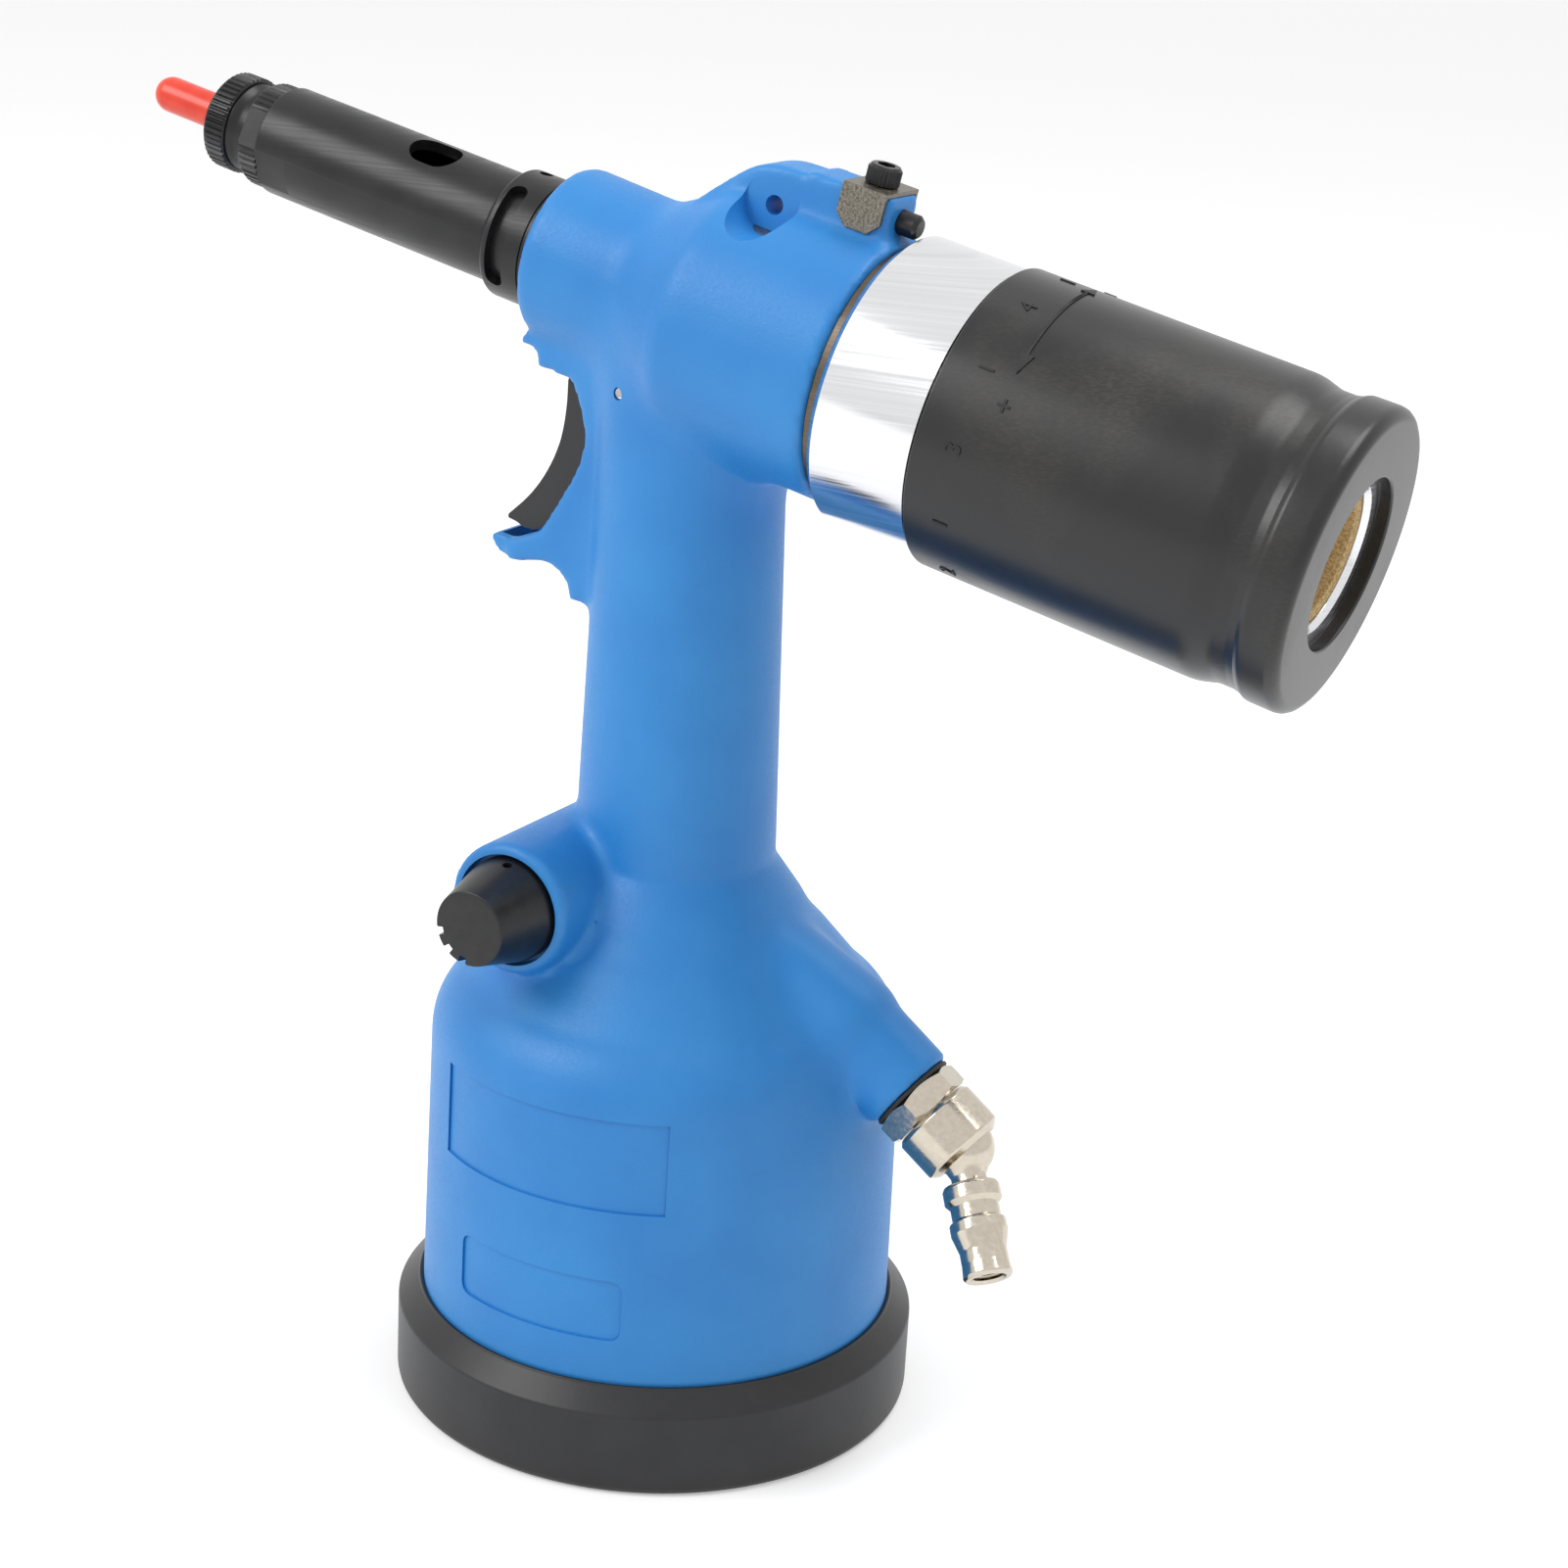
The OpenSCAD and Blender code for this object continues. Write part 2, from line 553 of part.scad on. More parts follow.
module nose_barrel() color("#18181a") at_barrel() difference() {
    translate([0, 0, nose_front_s]) cylinder(h = nose_tail_s - nose_front_s, r = nose_r, $fn = fine);
    translate([0, 0, nose_front_s + anvil_shank_l]) cylinder(h = 200, r = nose_bore_r);
    translate([0, 0, nose_front_s - 1]) cylinder(h = 60, r = anvil_shank_r + shaft_gap);
    // Window on the upper near side
    rotate(20) for (end = [-1, 1]) translate([0, 0, -68 + end * (window_l - window_w) / 2])
        rotate([0, 90, 0]) cylinder(h = nose_r + 2, r = window_w / 2);
    rotate(20) translate([0, -window_w / 2, -68 - (window_l - window_w) / 2])
        cube([nose_r + 2, window_w, window_l - window_w]);
    // Two spanner flats
    for (a = [115, 295]) rotate(a) translate([nose_r - 0.75, -10, nose_front_s - 1]) cube([5, 20, 9.7]);
}

module slotted_collar() color("#1b1b1d") at_barrel() difference() {
    union() {
        translate([0, 0, collar_front_s + 1]) cylinder(h = collar_end_s - collar_front_s - 1, r = collar_r);
        translate([0, 0, collar_front_s]) cylinder(h = 1.01, r1 = collar_r - 1, r2 = collar_r);
    }
    translate([0, 0, collar_front_s - 1]) cylinder(h = 40, r = nose_r + seat_gap, $fn = fine);
    // Long slot round the near side, with round ends
    translate([0, 0, -43]) {
        rotate(40) rotate_extrude(angle = 82) translate([nose_r - 1, -collar_slot_w / 2])
            square([6, collar_slot_w]);
        for (a = [40, 122]) rotate(a) rotate([0, 90, 0]) cylinder(h = 20, r = collar_slot_w / 2);
        rotate([0, 90, -3]) cylinder(h = 20, r = 1.5);
    }
    // Fine witness line near the head
    translate([0, 0, -36.8]) tube(collar_r + 1, collar_r - 0.3, 0.4);
}

module lock_nut() color("#1b1b1d") at_barrel(lock_nut_s) difference() {
    intersection() {
        knurled(11.5, lock_nut_l - 0.1, 44, 0.45);
        rotate(73) cube([21, 60, 40], center = true);
        translate([0, 0, -0.1]) cylinder(h = lock_nut_l + 1, r1 = 11, r2 = 11 + lock_nut_l * 1.2);
    }
    translate([0, 0, -1]) cylinder(h = 20, r = anvil_shank_r + shaft_gap);
}

module anvil() color("#1b1b1d") at_barrel() difference() {
    union() {
        intersection() {
            translate([0, 0, anvil_face_s]) knurled(anvil_r, anvil_band_l, 44, 0.5);
            translate([0, 0, anvil_face_s]) cylinder(h = anvil_band_l, r1 = anvil_r - 0.9, r2 = anvil_r + 4);
            translate([0, 0, anvil_face_s]) cylinder(h = anvil_band_l, r1 = anvil_r + 4, r2 = anvil_r - 0.4);
        }
        translate([0, 0, band_s - eps]) cylinder(h = 2, r1 = 9.6, r2 = 9.2);
        translate([0, 0, band_s]) cylinder(h = anvil_neck_l - 0.1, r = 8.6);
        translate([0, 0, band_s]) cylinder(h = anvil_neck_l + lock_nut_l + anvil_shank_l - 0.2, r = anvil_shank_r);
    }
    translate([0, 0, anvil_face_s - 1]) cylinder(h = 60, r = mandrel_r + shaft_gap);
    translate([0, 0, anvil_face_s - 1]) cylinder(h = 1 + cap_mouth_s - anvil_face_s + draw_stroke + gap, r = cap_r + gap);
}

module mandrel() color("#7d8085") at_barrel() difference() {
    union() {
        translate([0, 0, mandrel_tip_s]) cylinder(h = mandrel_root_s - mandrel_tip_s + 1, r = mandrel_r);
        translate([0, 0, mandrel_tip_s]) cylinder(h = 1, r1 = mandrel_r - 0.8, r2 = mandrel_r);
        translate([0, 0, mandrel_root_s - 6]) linear_extrude(6.5) circle(r = 5.4, $fn = 6);
        translate([0, 0, mandrel_root_s]) cylinder(h = coupling_l, r = coupling_r);
    }
    translate([0, 0, mandrel_root_s + 8]) cylinder(h = 60, r = shaft_r + seat_gap);
}

module protective_cap() color("#e23a22") at_barrel() rotate_extrude() polygon(concat(
    [[0, cap_tip_s]],
    arc([0, cap_tip_s + cap_r], cap_r, -84, 0, 7),
    [[cap_r, cap_mouth_s], [cap_r - cap_wall, cap_mouth_s],
     [cap_r - cap_wall, cap_tip_s + cap_r], [cap_r - 2 * cap_wall, cap_tip_s + cap_wall + 0.9],
     [0, cap_tip_s + cap_wall]]));

module drive_shaft() color("#6f7277") at_barrel() {
    translate([0, 0, mandrel_root_s + 8.2]) cylinder(h = motor_s - mandrel_root_s - 10, r = shaft_r);
}

module motor_cylinder() color("#868a8f") at_barrel(motor_s + motor_plate_t + seat_gap) difference() {
    cylinder(h = motor_l - 2 * seat_gap, r = motor_r, $fn = fine);
    translate([motor_offset, 0, -1]) cylinder(h = motor_l + 2, r = motor_bore_r);
    translate([-motor_r, 0, motor_l - 8]) rotate([0, 90, 0]) cylinder(h = 12, r = 3);
}

// One end plate of the motor, with a pocket for its bearing
module motor_plate() difference() {
    cylinder(h = motor_plate_t, r = motor_r, $fn = fine);
    translate([0, 0, -1]) cylinder(h = motor_plate_t + 2, r = rotor_shaft_r + 1);
    translate([0, 0, 1.5]) cylinder(h = motor_plate_t, r = bearing_r + seat_gap);
}

module motor_front_plate() color("#9aa0a6") at_barrel(motor_s) {
    difference() {
        union() {
            motor_plate();
            translate([0, 0, -1.1]) cylinder(h = 1.2, r = 14);
        }
        translate([0, 0, -2]) cylinder(h = 9, r = rotor_shaft_r + 1);
    }
}

module motor_rear_plate() color("#9aa0a6") at_barrel(motor_end_s) mirror([0, 0, 1]) motor_plate();

module motor_bearings() color("#d0d3d6") {
    at_barrel(motor_s + 1.5 + seat_gap) tube(bearing_r, rotor_shaft_r + shaft_gap, motor_plate_t - 2);
    at_barrel(motor_end_s - motor_plate_t + 0.5 - seat_gap) tube(bearing_r, rotor_shaft_r + shaft_gap, motor_plate_t - 2);
}

module motor_rotor() color("#b0b3b8") at_barrel() difference() {
    union() {
        translate([0, 0, motor_s + motor_plate_t + rotor_gap]) cylinder(h = motor_l - 2 * rotor_gap, r = rotor_r);
        translate([0, 0, motor_s - 0.9]) cylinder(h = motor_end_s - motor_s - 0.9, r = rotor_shaft_r);
    }
    translate([0, 0, motor_s - 2]) cylinder(h = 30, r = shaft_r + gap);
    translate([0, 0, motor_s + motor_plate_t]) for (i = [0 : vane_count - 1]) rotate(360 * i / vane_count)
        translate([rotor_r - vane_h - 0.1, -vane_t / 2 - 0.05, -1]) cube([vane_h + 2, vane_t + 0.1, motor_l + 2]);
}

module motor_vanes() color("#7a5a3a") at_barrel(motor_s + motor_plate_t + rotor_gap + 0.1)
    for (i = [0 : vane_count - 1]) rotate(360 * i / vane_count)
        translate([rotor_r - vane_h, -vane_t / 2, 0]) cube([vane_h - 0.1, vane_t, motor_l - 2 * rotor_gap - 0.2]);

module adjuster_sleeve() color("#d7dade") at_barrel() rotate_extrude($fn = fine) polygon([
    [sleeve_bore_r, sleeve_front_s + 0.6], [end_ring_r + gap, sleeve_front_s + 0.6],
    [end_ring_r + gap, sleeve_front_s], [sleeve_r - sleeve_chamfer, sleeve_front_s],
    [sleeve_r, sleeve_front_s + sleeve_chamfer], [sleeve_r, boot_front_s - seat_gap],
    [boot_seat_r - seat_gap, boot_front_s - seat_gap], [boot_seat_r - seat_gap, sleeve_end_s],
    [sleeve_bore_r, sleeve_end_s]]);

module rear_boot() color("#1d1d1f") at_barrel() rotate_extrude($fn = fine) polygon(concat(
    [[boot_seat_r, boot_front_s], [boot_r - 0.5, boot_front_s], [boot_r, boot_front_s + 0.6],
     [boot_r, boot_rear_s - 20]],
    [for (i = [1 : 9]) [boot_r - 0.55 + 0.55 * cos(360 * i / 9), boot_rear_s - 20 + 11 * i / 9]],
    arc([boot_r - 3, boot_rear_s - 3], 3, 0, 90, 6),
    [[mouth_r + 0.5, boot_rear_s], [mouth_r, boot_rear_s - 0.5], [mouth_r, muffler_ring_s + muffler_ring_t],
     [boot_seat_r, muffler_ring_s + muffler_ring_t]]));

module muffler() color("#c9a86a") at_barrel() rotate_extrude() polygon([
    [0, muffler_s], [muffler_r + 3, muffler_s], [muffler_r + 3, muffler_s + 3],
    [muffler_r - seat_gap, muffler_s + 3], [muffler_r - seat_gap, muffler_ring_s + 2],
    [muffler_r - 2.2, muffler_ring_s + 2], [muffler_r - 2.2, muffler_s + 4], [0, muffler_s + 4]]);

module muffler_ring() color("#cfd2d6") at_barrel() rotate_extrude($fn = fine) polygon([
    [muffler_r, muffler_ring_s - 2], [boot_seat_r - seat_gap, muffler_ring_s - 2],
    [boot_seat_r - seat_gap, muffler_ring_s + muffler_ring_t - seat_gap],
    [muffler_r + 0.8, muffler_ring_s + muffler_ring_t - seat_gap],
    [muffler_r, muffler_ring_s + muffler_ring_t - 0.8]]);

module trigger() color("#222224") difference() {
    union() {
        upright(trigger_w) polygon(concat(
            [[-27.9, 228], [-28, 222.6], [-28.6, 216.6], [-30, 211.8], [-33, 205.6], [-37, 200.5], [-42, 196],
             [-42.4, 195.1], [-40, 194.5], [-38.2, 193.6], [-35.3, 193.4], [-33, 194.4], [-26, 203],
             [-20, 214.5], [-18, 215], [-15.6, 212.9], [-14.6, 212.9], [-13.9, 216]],
            [[-pivot_x - 2, pivot_z - 2.6], [-pivot_x + 1, pivot_z - 2.9]],
            arc([-pivot_x, pivot_z], 3, -60, 100, 8),
            [[-20, 228]]));
    }
    translate([-pivot_x, 0, pivot_z]) rotate([90, 0, 0])
        cylinder(h = 40, r = trigger_pin_r + shaft_gap, center = true);
}

module trigger_pin() color("#b9bcc0") translate([-pivot_x, 0, pivot_z]) rotate([90, 0, 0])
    cylinder(h = 34.6, r = trigger_pin_r - 0.02, center = true);

module trigger_rod() color("#a5a8ac") translate([-rod_x, 0, 0]) {
    translate([0, 0, rod_low_z]) cylinder(h = rod_top_z - rod_low_z, r = rod_r);
    translate([0, 0, rod_collar_z]) cylinder(h = 3, r = rod_collar_r);
}

module trigger_spring() color("#8c8f94") translate([-rod_x, 0, 0])
    coil(2.2, 0.4, spring_seat_z + 0.2, rod_collar_z - 0.3, 6);

module regulator_knob() color("#1f1f21") at_valve() difference() {
    union() {
        translate([0, 0, knob_boss_y - mouth_depth + gap]) cylinder(h = mouth_depth - gap, r = knob_low_r);
        translate([0, 0, knob_boss_y - eps]) cylinder(h = knob_out_l, r1 = knob_low_r, r2 = knob_face_r);
        translate([0, 0, knob_boss_y - mouth_depth - stem_l + gap]) cylinder(h = stem_l + 2, r = stem_r);
    }
    // Thumb notches in one side of the face, and the cross hole in the skirt
    for (a = [195, 227, 259]) rotate(a) translate([knob_face_r - 1.3, -1.2, knob_boss_y + knob_out_l - 6])
        cube([5, 2.4, 10]);
    translate([0, 0, knob_boss_y + 1.6]) rotate([0, 90, 84]) cylinder(h = 20, r = 1);
    translate([0, 0, knob_boss_y - mouth_depth - 4]) tube(stem_r + 1, stem_r - 1, 2);
}

module knob_seal() color("#151515") at_valve(knob_boss_y - mouth_depth - 4 + seat_gap)
    tube(stem_r - seat_gap, stem_r - 1 + seat_gap, 2 - 2 * seat_gap);

module lock_pin() color("#1a1a1c") at_barrel() translate([lock_pin_h, 0, 0]) {
    translate([0, 0, fin_rear_s - lock_pin_in_l]) cylinder(h = lock_pin_in_l + lock_pin_out_l - 0.8, r = lock_pin_r);
    translate([0, 0, fin_rear_s + lock_pin_out_l - 0.8]) cylinder(h = 0.8, r1 = lock_pin_r, r2 = lock_pin_r - 0.7);
}

module clamp_clip() color("#3a3c3f") at_barrel() difference() {
    union() {
        translate([clamp_h, -fin_w / 2 - seat_gap - clamp_t, clamp_s - clamp_l / 2])
            cube([clamp_t, fin_w + 2 * seat_gap + 2 * clamp_t, clamp_l]);
        for (side = [-1, 1]) translate([clamp_h, side * (fin_w / 2 + seat_gap + clamp_t / 2), clamp_s])
            rotate([90, 0, 0]) linear_extrude(clamp_t, center = true) polygon([
                [clamp_t, -clamp_l / 2], [clamp_t, clamp_l / 2], [-clamp_drop + 2.6, clamp_l / 2],
                [-clamp_drop, clamp_l / 2 - 2.4], [-clamp_drop, 2.2 - clamp_l / 2],
                [-clamp_drop + 2.6, -clamp_l / 2]]);
    }
    translate([clamp_h - 1, 0, clamp_s]) rotate([0, 90, 0]) cylinder(h = 5, r = screw_r + gap);
}

module clamp_screw() color("#19191b") at_barrel() translate([clamp_h + clamp_t + seat_gap, 0, clamp_s])
    rotate([0, 90, 0]) difference() {
        union() {
            cylinder(h = screw_head_h - 0.4, r = screw_head_r);
            translate([0, 0, screw_head_h - 0.4]) cylinder(h = 0.4, r1 = screw_head_r, r2 = screw_head_r - 0.4);
            translate([0, 0, lock_pin_h + lock_pin_r + gap - clamp_h - clamp_t])
                cylinder(h = clamp_h + clamp_t - lock_pin_h - lock_pin_r - gap + 1, r = screw_r);
        }
        translate([0, 0, screw_head_h - 2.2]) linear_extrude(4) circle(r = 1.73, $fn = 6);
    }

module inlet_adapter() color("#b9b2a6") at_inlet() difference() {
    union() {
        translate([0, 0, seal_t]) intersection() {
            linear_extrude(hex_t) rotate(13) circle(d = inlet_hex_af / cos(30), $fn = 6);
            cylinder(h = hex_t, r1 = inlet_hex_af / 2 + 0.6 + hex_t, r2 = inlet_hex_af / 2 + 0.6);
            cylinder(h = hex_t, r1 = inlet_hex_af / 2 + 0.6, r2 = inlet_hex_af / 2 + 0.6 + hex_t);
        }
        translate([0, 0, -inlet_shank_l]) cylinder(h = inlet_shank_l + seal_t + 1, r = inlet_shank_r);
        translate([0, 0, seal_t + hex_t]) cylinder(h = 2.6, r = 5);
    }
    translate([0, 0, -inlet_shank_l - 1]) cylinder(h = 40, r = 3);
}

module inlet_seal() color("#1a1a1a") at_inlet(seat_gap) tube(9.6, inlet_shank_r + seat_gap, seal_t - 2 * seat_gap);

module swivel_sleeve() color("#c4bdb1") at_inlet(swivel_s) difference() {
    union() {
        cylinder(h = 0.8, r1 = swivel_r - 0.7, r2 = swivel_r);
        translate([0, 0, 0.8 - eps]) cylinder(h = swivel_l - 1.8 + 2 * eps, r = swivel_r);
        translate([0, 0, swivel_l - 1]) cylinder(h = 1, r1 = swivel_r, r2 = swivel_r - 1);
    }
    translate([0, 0, -1]) cylinder(h = 3.4, r = 5 + shaft_gap);
    translate([0, 0, ball_s - swivel_s]) sphere(r = ball_r + 0.1);
    translate([0, 0, swivel_l - 1.2]) cylinder(h = 3, r1 = 6.4, r2 = 9);
    cylinder(h = 4, r = 3);
}

module air_plug() color("#c4bdb1") at_plug() difference() {
    union() {
        sphere(r = ball_r);
        rotate_extrude() polygon([[0, 0], [4.4, 5], [3.9, 6.4], [3.9, 8.2], [5.9, 8.7], [6.25, 9.2],
            [6.25, 12.2], [5.9, 13], [5.3, 13.3], [5.3, 16.2], [5.9, 16.5], [6.15, 17], [6.15, 19],
            [5.1, 22.6], [5.1, 25.4], [5.35, plug_l - 0.8], [5.1, plug_l - 0.2], [4.6, plug_l], [0, plug_l]]);
    }
    translate([0, 0, 4]) cylinder(h = plug_l, r = plug_bore_r);
    translate([0, 0, -10]) cylinder(h = 20, r = 2);
}

base_cup();
bottom_cover();
cover_clip_ring();
air_cylinder();
air_piston();
air_piston_seal();
ram();
ram_gland();
oil_tube();
housing();
head_cylinder();
draw_piston();
draw_piston_seal();
return_spring();
head_end_ring();
nose_barrel();
slotted_collar();
lock_nut();
anvil();
mandrel();
protective_cap();
drive_shaft();
motor_cylinder();
motor_front_plate();
motor_rear_plate();
motor_bearings();
motor_rotor();
motor_vanes();
adjuster_sleeve();
rear_boot();
muffler();
muffler_ring();
trigger();
trigger_pin();
trigger_rod();
trigger_spring();
regulator_knob();
knob_seal();
lock_pin();
clamp_clip();
clamp_screw();
inlet_adapter();
inlet_seal();
swivel_sleeve();
air_plug();
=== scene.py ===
# %% [markdown]
# # Dressing a pneumatic rivet gun
#
# The construction model already holds every piece of the tool at its real size and place. This
# lesson gives the pieces that show their true surfaces: the soft moulding of the blue body, the
# chamfers that catch light on the black nose, the satin rubber boot with its dial, and the plated
# air inlet. Each piece is built in millimetres round its own axis and then placed once.

# %% Load the construction model
import json
import math

import bpy
import numpy as np
from mathutils import Matrix, Vector
from mathutils.bvhtree import BVHTree


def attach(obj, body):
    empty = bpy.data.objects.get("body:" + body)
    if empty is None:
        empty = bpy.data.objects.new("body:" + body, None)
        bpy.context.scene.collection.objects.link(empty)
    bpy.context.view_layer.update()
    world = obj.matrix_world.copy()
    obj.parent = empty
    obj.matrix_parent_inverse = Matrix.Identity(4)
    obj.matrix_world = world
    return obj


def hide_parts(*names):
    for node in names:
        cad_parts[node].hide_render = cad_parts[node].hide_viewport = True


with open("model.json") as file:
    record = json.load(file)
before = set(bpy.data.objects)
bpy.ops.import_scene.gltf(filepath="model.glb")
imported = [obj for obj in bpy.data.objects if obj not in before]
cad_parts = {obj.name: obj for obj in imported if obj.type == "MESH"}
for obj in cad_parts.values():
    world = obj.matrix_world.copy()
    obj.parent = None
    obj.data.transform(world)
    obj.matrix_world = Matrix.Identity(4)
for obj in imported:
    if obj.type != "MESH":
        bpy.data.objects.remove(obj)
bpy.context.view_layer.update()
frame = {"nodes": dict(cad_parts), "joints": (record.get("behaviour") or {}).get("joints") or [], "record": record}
nodes = frame["nodes"]
joints = {joint["name"]: joint for joint in frame["joints"]}
mounts = {mount["name"]: mount for mount in frame["record"]["mounts"]}
MM = 0.001

# %% [markdown]
# ## The camera
#
# A product picture of such a tool is taken a little from behind and above, so that the nose, the
# dial and the air inlet all show. The camera is turned: azimuth and elevation give the way it
# looks, and a small roll about that line keeps the tool's lean as it is seen.

# %% Camera
CAMERA_AT = (0.31647, -0.54019, 0.35267)
CAMERA_AZIMUTH, CAMERA_ELEVATION, CAMERA_ROLL = (math.radians(a) for a in (28.267, 18.541, 3.292))
CAMERA_LENS = 69.75

back = Vector((math.sin(CAMERA_AZIMUTH) * math.cos(CAMERA_ELEVATION),
               -math.cos(CAMERA_AZIMUTH) * math.cos(CAMERA_ELEVATION), math.sin(CAMERA_ELEVATION)))
level = Vector((math.cos(CAMERA_AZIMUTH), math.sin(CAMERA_AZIMUTH), 0))
aim = Matrix((level, back.cross(level), back)).transposed().to_4x4()
camera = bpy.data.objects.new("camera", bpy.data.cameras.new("camera"))
camera.data.lens = CAMERA_LENS
camera.data.clip_start = 0.01
camera.matrix_world = Matrix.Translation(CAMERA_AT) @ aim @ Matrix.Rotation(CAMERA_ROLL, 4, "Z")
bpy.context.scene.collection.objects.link(camera)
bpy.context.scene.camera = camera
print("camera looks along", [round(-x, 3) for x in back])

# %% [markdown]
# ## Places to build in
#
# Nearly everything on this tool is turned about one of five lines: the handle, the barrel, the air
# inlet, the tilted plug and the regulator valve. A place is a matrix with Z along such a line, X
# towards its upper side, and the step from millimetres to metres. The lines come from the joints
# of the model, and sizes are measured on its nodes in the same axes.

# %% Places
def place(origin, out, upper):
    """Axes in millimetres at a point, with Z along out and X towards the upper side."""
    z = Vector(out).normalized()
    x = (Vector(upper) - z * z.dot(Vector(upper))).normalized()
    turn = Matrix((x, z.cross(x), z)).transposed().to_4x4()
    return Matrix.Translation(origin) @ turn @ Matrix.Scale(MM, 4)


def spans(node, where):
    """Lowest and highest corner of a node in a place's own axes, in millimetres."""
    inward = where.inverted()
    points = np.array([inward @ vertex.co for vertex in nodes[node].data.vertices])
    return Vector(points.min(0)), Vector(points.max(0))


UP = (0, 0, 1)
upright = Matrix.Scale(MM, 4)
spin = joints["adjuster_turn"]
barrel_line, on_barrel = Vector(spin["axis"]), Vector(spin["pos_m"])
barrel = place(on_barrel - barrel_line * on_barrel.x / barrel_line.x, barrel_line, UP)
swivel_line = joints["swivel_turn"]["axis"]
inlet = place(joints["swivel_turn"]["pos_m"], swivel_line, UP)
inlet = inlet @ Matrix.Translation((0, 0, spans("inlet_seal", inlet)[0].z - 0.05))
plug = place(joints["plug_tilt"]["pos_m"], mounts["air_plug"]["axis"], UP)
valve = place(joints["knob_turn"]["pos_m"], joints["knob_turn"]["axis"], (1, 0, 0))
axis_z = barrel.translation.z / MM
print("barrel axis height", round(axis_z, 2), "nose span", spans("nose_barrel", barrel)[0].z)

# %% [markdown]
# ## Tools of the bench
#
# Four ways of making cover almost all pieces. A turned piece is a line of radius and station spun
# about Z. A pushed piece is a flat outline extruded along a vector. A cut takes one solid out of
# another. A softened piece gets a small bevel on its sharp edges, because an edge without one
# never catches the light. A corner in a line may carry a third number, the radius of its arc.

# %% Drawing and turning
def arc(centre, radius, start, end, steps=6):
    """Points on a circle between two angles in degrees."""
    angles = [math.radians(start + (end - start) * i / steps) for i in range(steps + 1)]
    return [(centre[0] + radius * math.cos(a), centre[1] + radius * math.sin(a)) for a in angles]


def rounded(line, steps=4):
    """Gives each corner (x, y, radius) of a line its arc."""
    out = []
    for i, point in enumerate(line):
        here = Vector(point[:2])
        if len(point) < 3:
            out.append(tuple(here))
            continue
        before = (Vector(line[i - 1][:2]) - here).normalized()
        after = (Vector(line[(i + 1) % len(line)][:2]) - here).normalized()
        half = before.angle(after) / 2
        centre = here + (before + after).normalized() * point[2] / math.sin(half)
        first = here + before * point[2] / math.tan(half) - centre
        last = here + after * point[2] / math.tan(half) - centre
        sweep = first.angle(last)
        for k in range(steps + 1):
            share = sweep * k / steps
            swing = first * math.sin(sweep - share) + last * math.sin(share)
            out.append(tuple(centre + swing / math.sin(sweep)))
    return out


def alone(*pieces):
    """Object mode, with only these pieces selected and the first one active."""
    if bpy.context.object and bpy.context.object.mode != "OBJECT":
        bpy.ops.object.mode_set(mode="OBJECT")
    bpy.ops.object.select_all(action="DESELECT")
    for piece in pieces:
        piece.select_set(True)
    bpy.context.view_layer.objects.active = pieces[0]


def drawn(name, points, closed):
    """A piece that is only its outline, ready for edit mode, with all of it selected."""
    count = len(points)
    edges = [(i, (i + 1) % count) for i in range(count if closed else count - 1)]
    mesh = bpy.data.meshes.new(name)
    mesh.from_pydata(points, edges, [])
    piece = bpy.data.objects.new(name, mesh)
    bpy.context.scene.collection.objects.link(piece)
    alone(piece)
    bpy.ops.object.mode_set(mode="EDIT")
    bpy.ops.mesh.select_all(action="SELECT")
    return piece


def closed_up(piece, where):
    """Ends edit mode with doubles merged and faces outwards, and puts the piece in its place."""
    bpy.ops.mesh.select_all(action="SELECT")
    bpy.ops.mesh.remove_doubles(threshold=0.0005)
    bpy.ops.mesh.normals_make_consistent(inside=False)
    bpy.ops.object.mode_set(mode="OBJECT")
    piece.data.transform(where)
    return piece


def turned(name, line, where, steps=96, closed=False):
    """A piece turned on a lathe from a line of (radius, station), closed where it is a ring."""
    piece = drawn(name, [(r, 0, s) for r, s in rounded(line)], closed)
    bpy.ops.mesh.spin(steps=steps, angle=math.tau, center=(0, 0, 0), axis=(0, 0, 1))
    return closed_up(piece, where)


def pushed(name, points, along, where):
    """A flat outline of three-dimensional points pushed along a vector."""
    piece = drawn(name, points, True)
    bpy.ops.mesh.edge_face_add()
    bpy.ops.mesh.extrude_region_move(TRANSFORM_OT_translate={"value": along})
    return closed_up(piece, where)


def slab(name, line, width, where):
    """An outline drawn in X and Z, pushed to a width centred on Y = 0."""
    return pushed(name, [(x, -width / 2, z) for x, z in rounded(line)], (0, width, 0), where)


def drum(radius, low, high, where, steps=96):
    """A plain round cutter."""
    return turned("cutter", [(0, low), (radius, low), (radius, high), (0, high)], where, steps)


# %% Cutting, softening and dressing
def applied(piece, kind, **settings):
    """Adds a modifier with its settings and applies it."""
    modifier = piece.modifiers.new(kind, kind)
    for key, value in settings.items():
        setattr(modifier, key, value)
    alone(piece)
    bpy.ops.object.modifier_apply(modifier=kind)


def cut(piece, *cutters, operation="DIFFERENCE"):
    """Takes each cutter out of the piece, or joins or intersects it, and throws the cutter away."""
    for cutter in cutters:
        applied(piece, "BOOLEAN", object=cutter, operation=operation, solver="MANIFOLD")
        bpy.data.objects.remove(cutter)
    return piece


def softened(piece, width, steps=2, over=40):
    """Bevels every edge sharper than an angle, width in millimetres."""
    applied(piece, "BEVEL", width=width * MM, segments=steps, limit_method="ANGLE",
            angle_limit=math.radians(over), use_clamp_overlap=True)


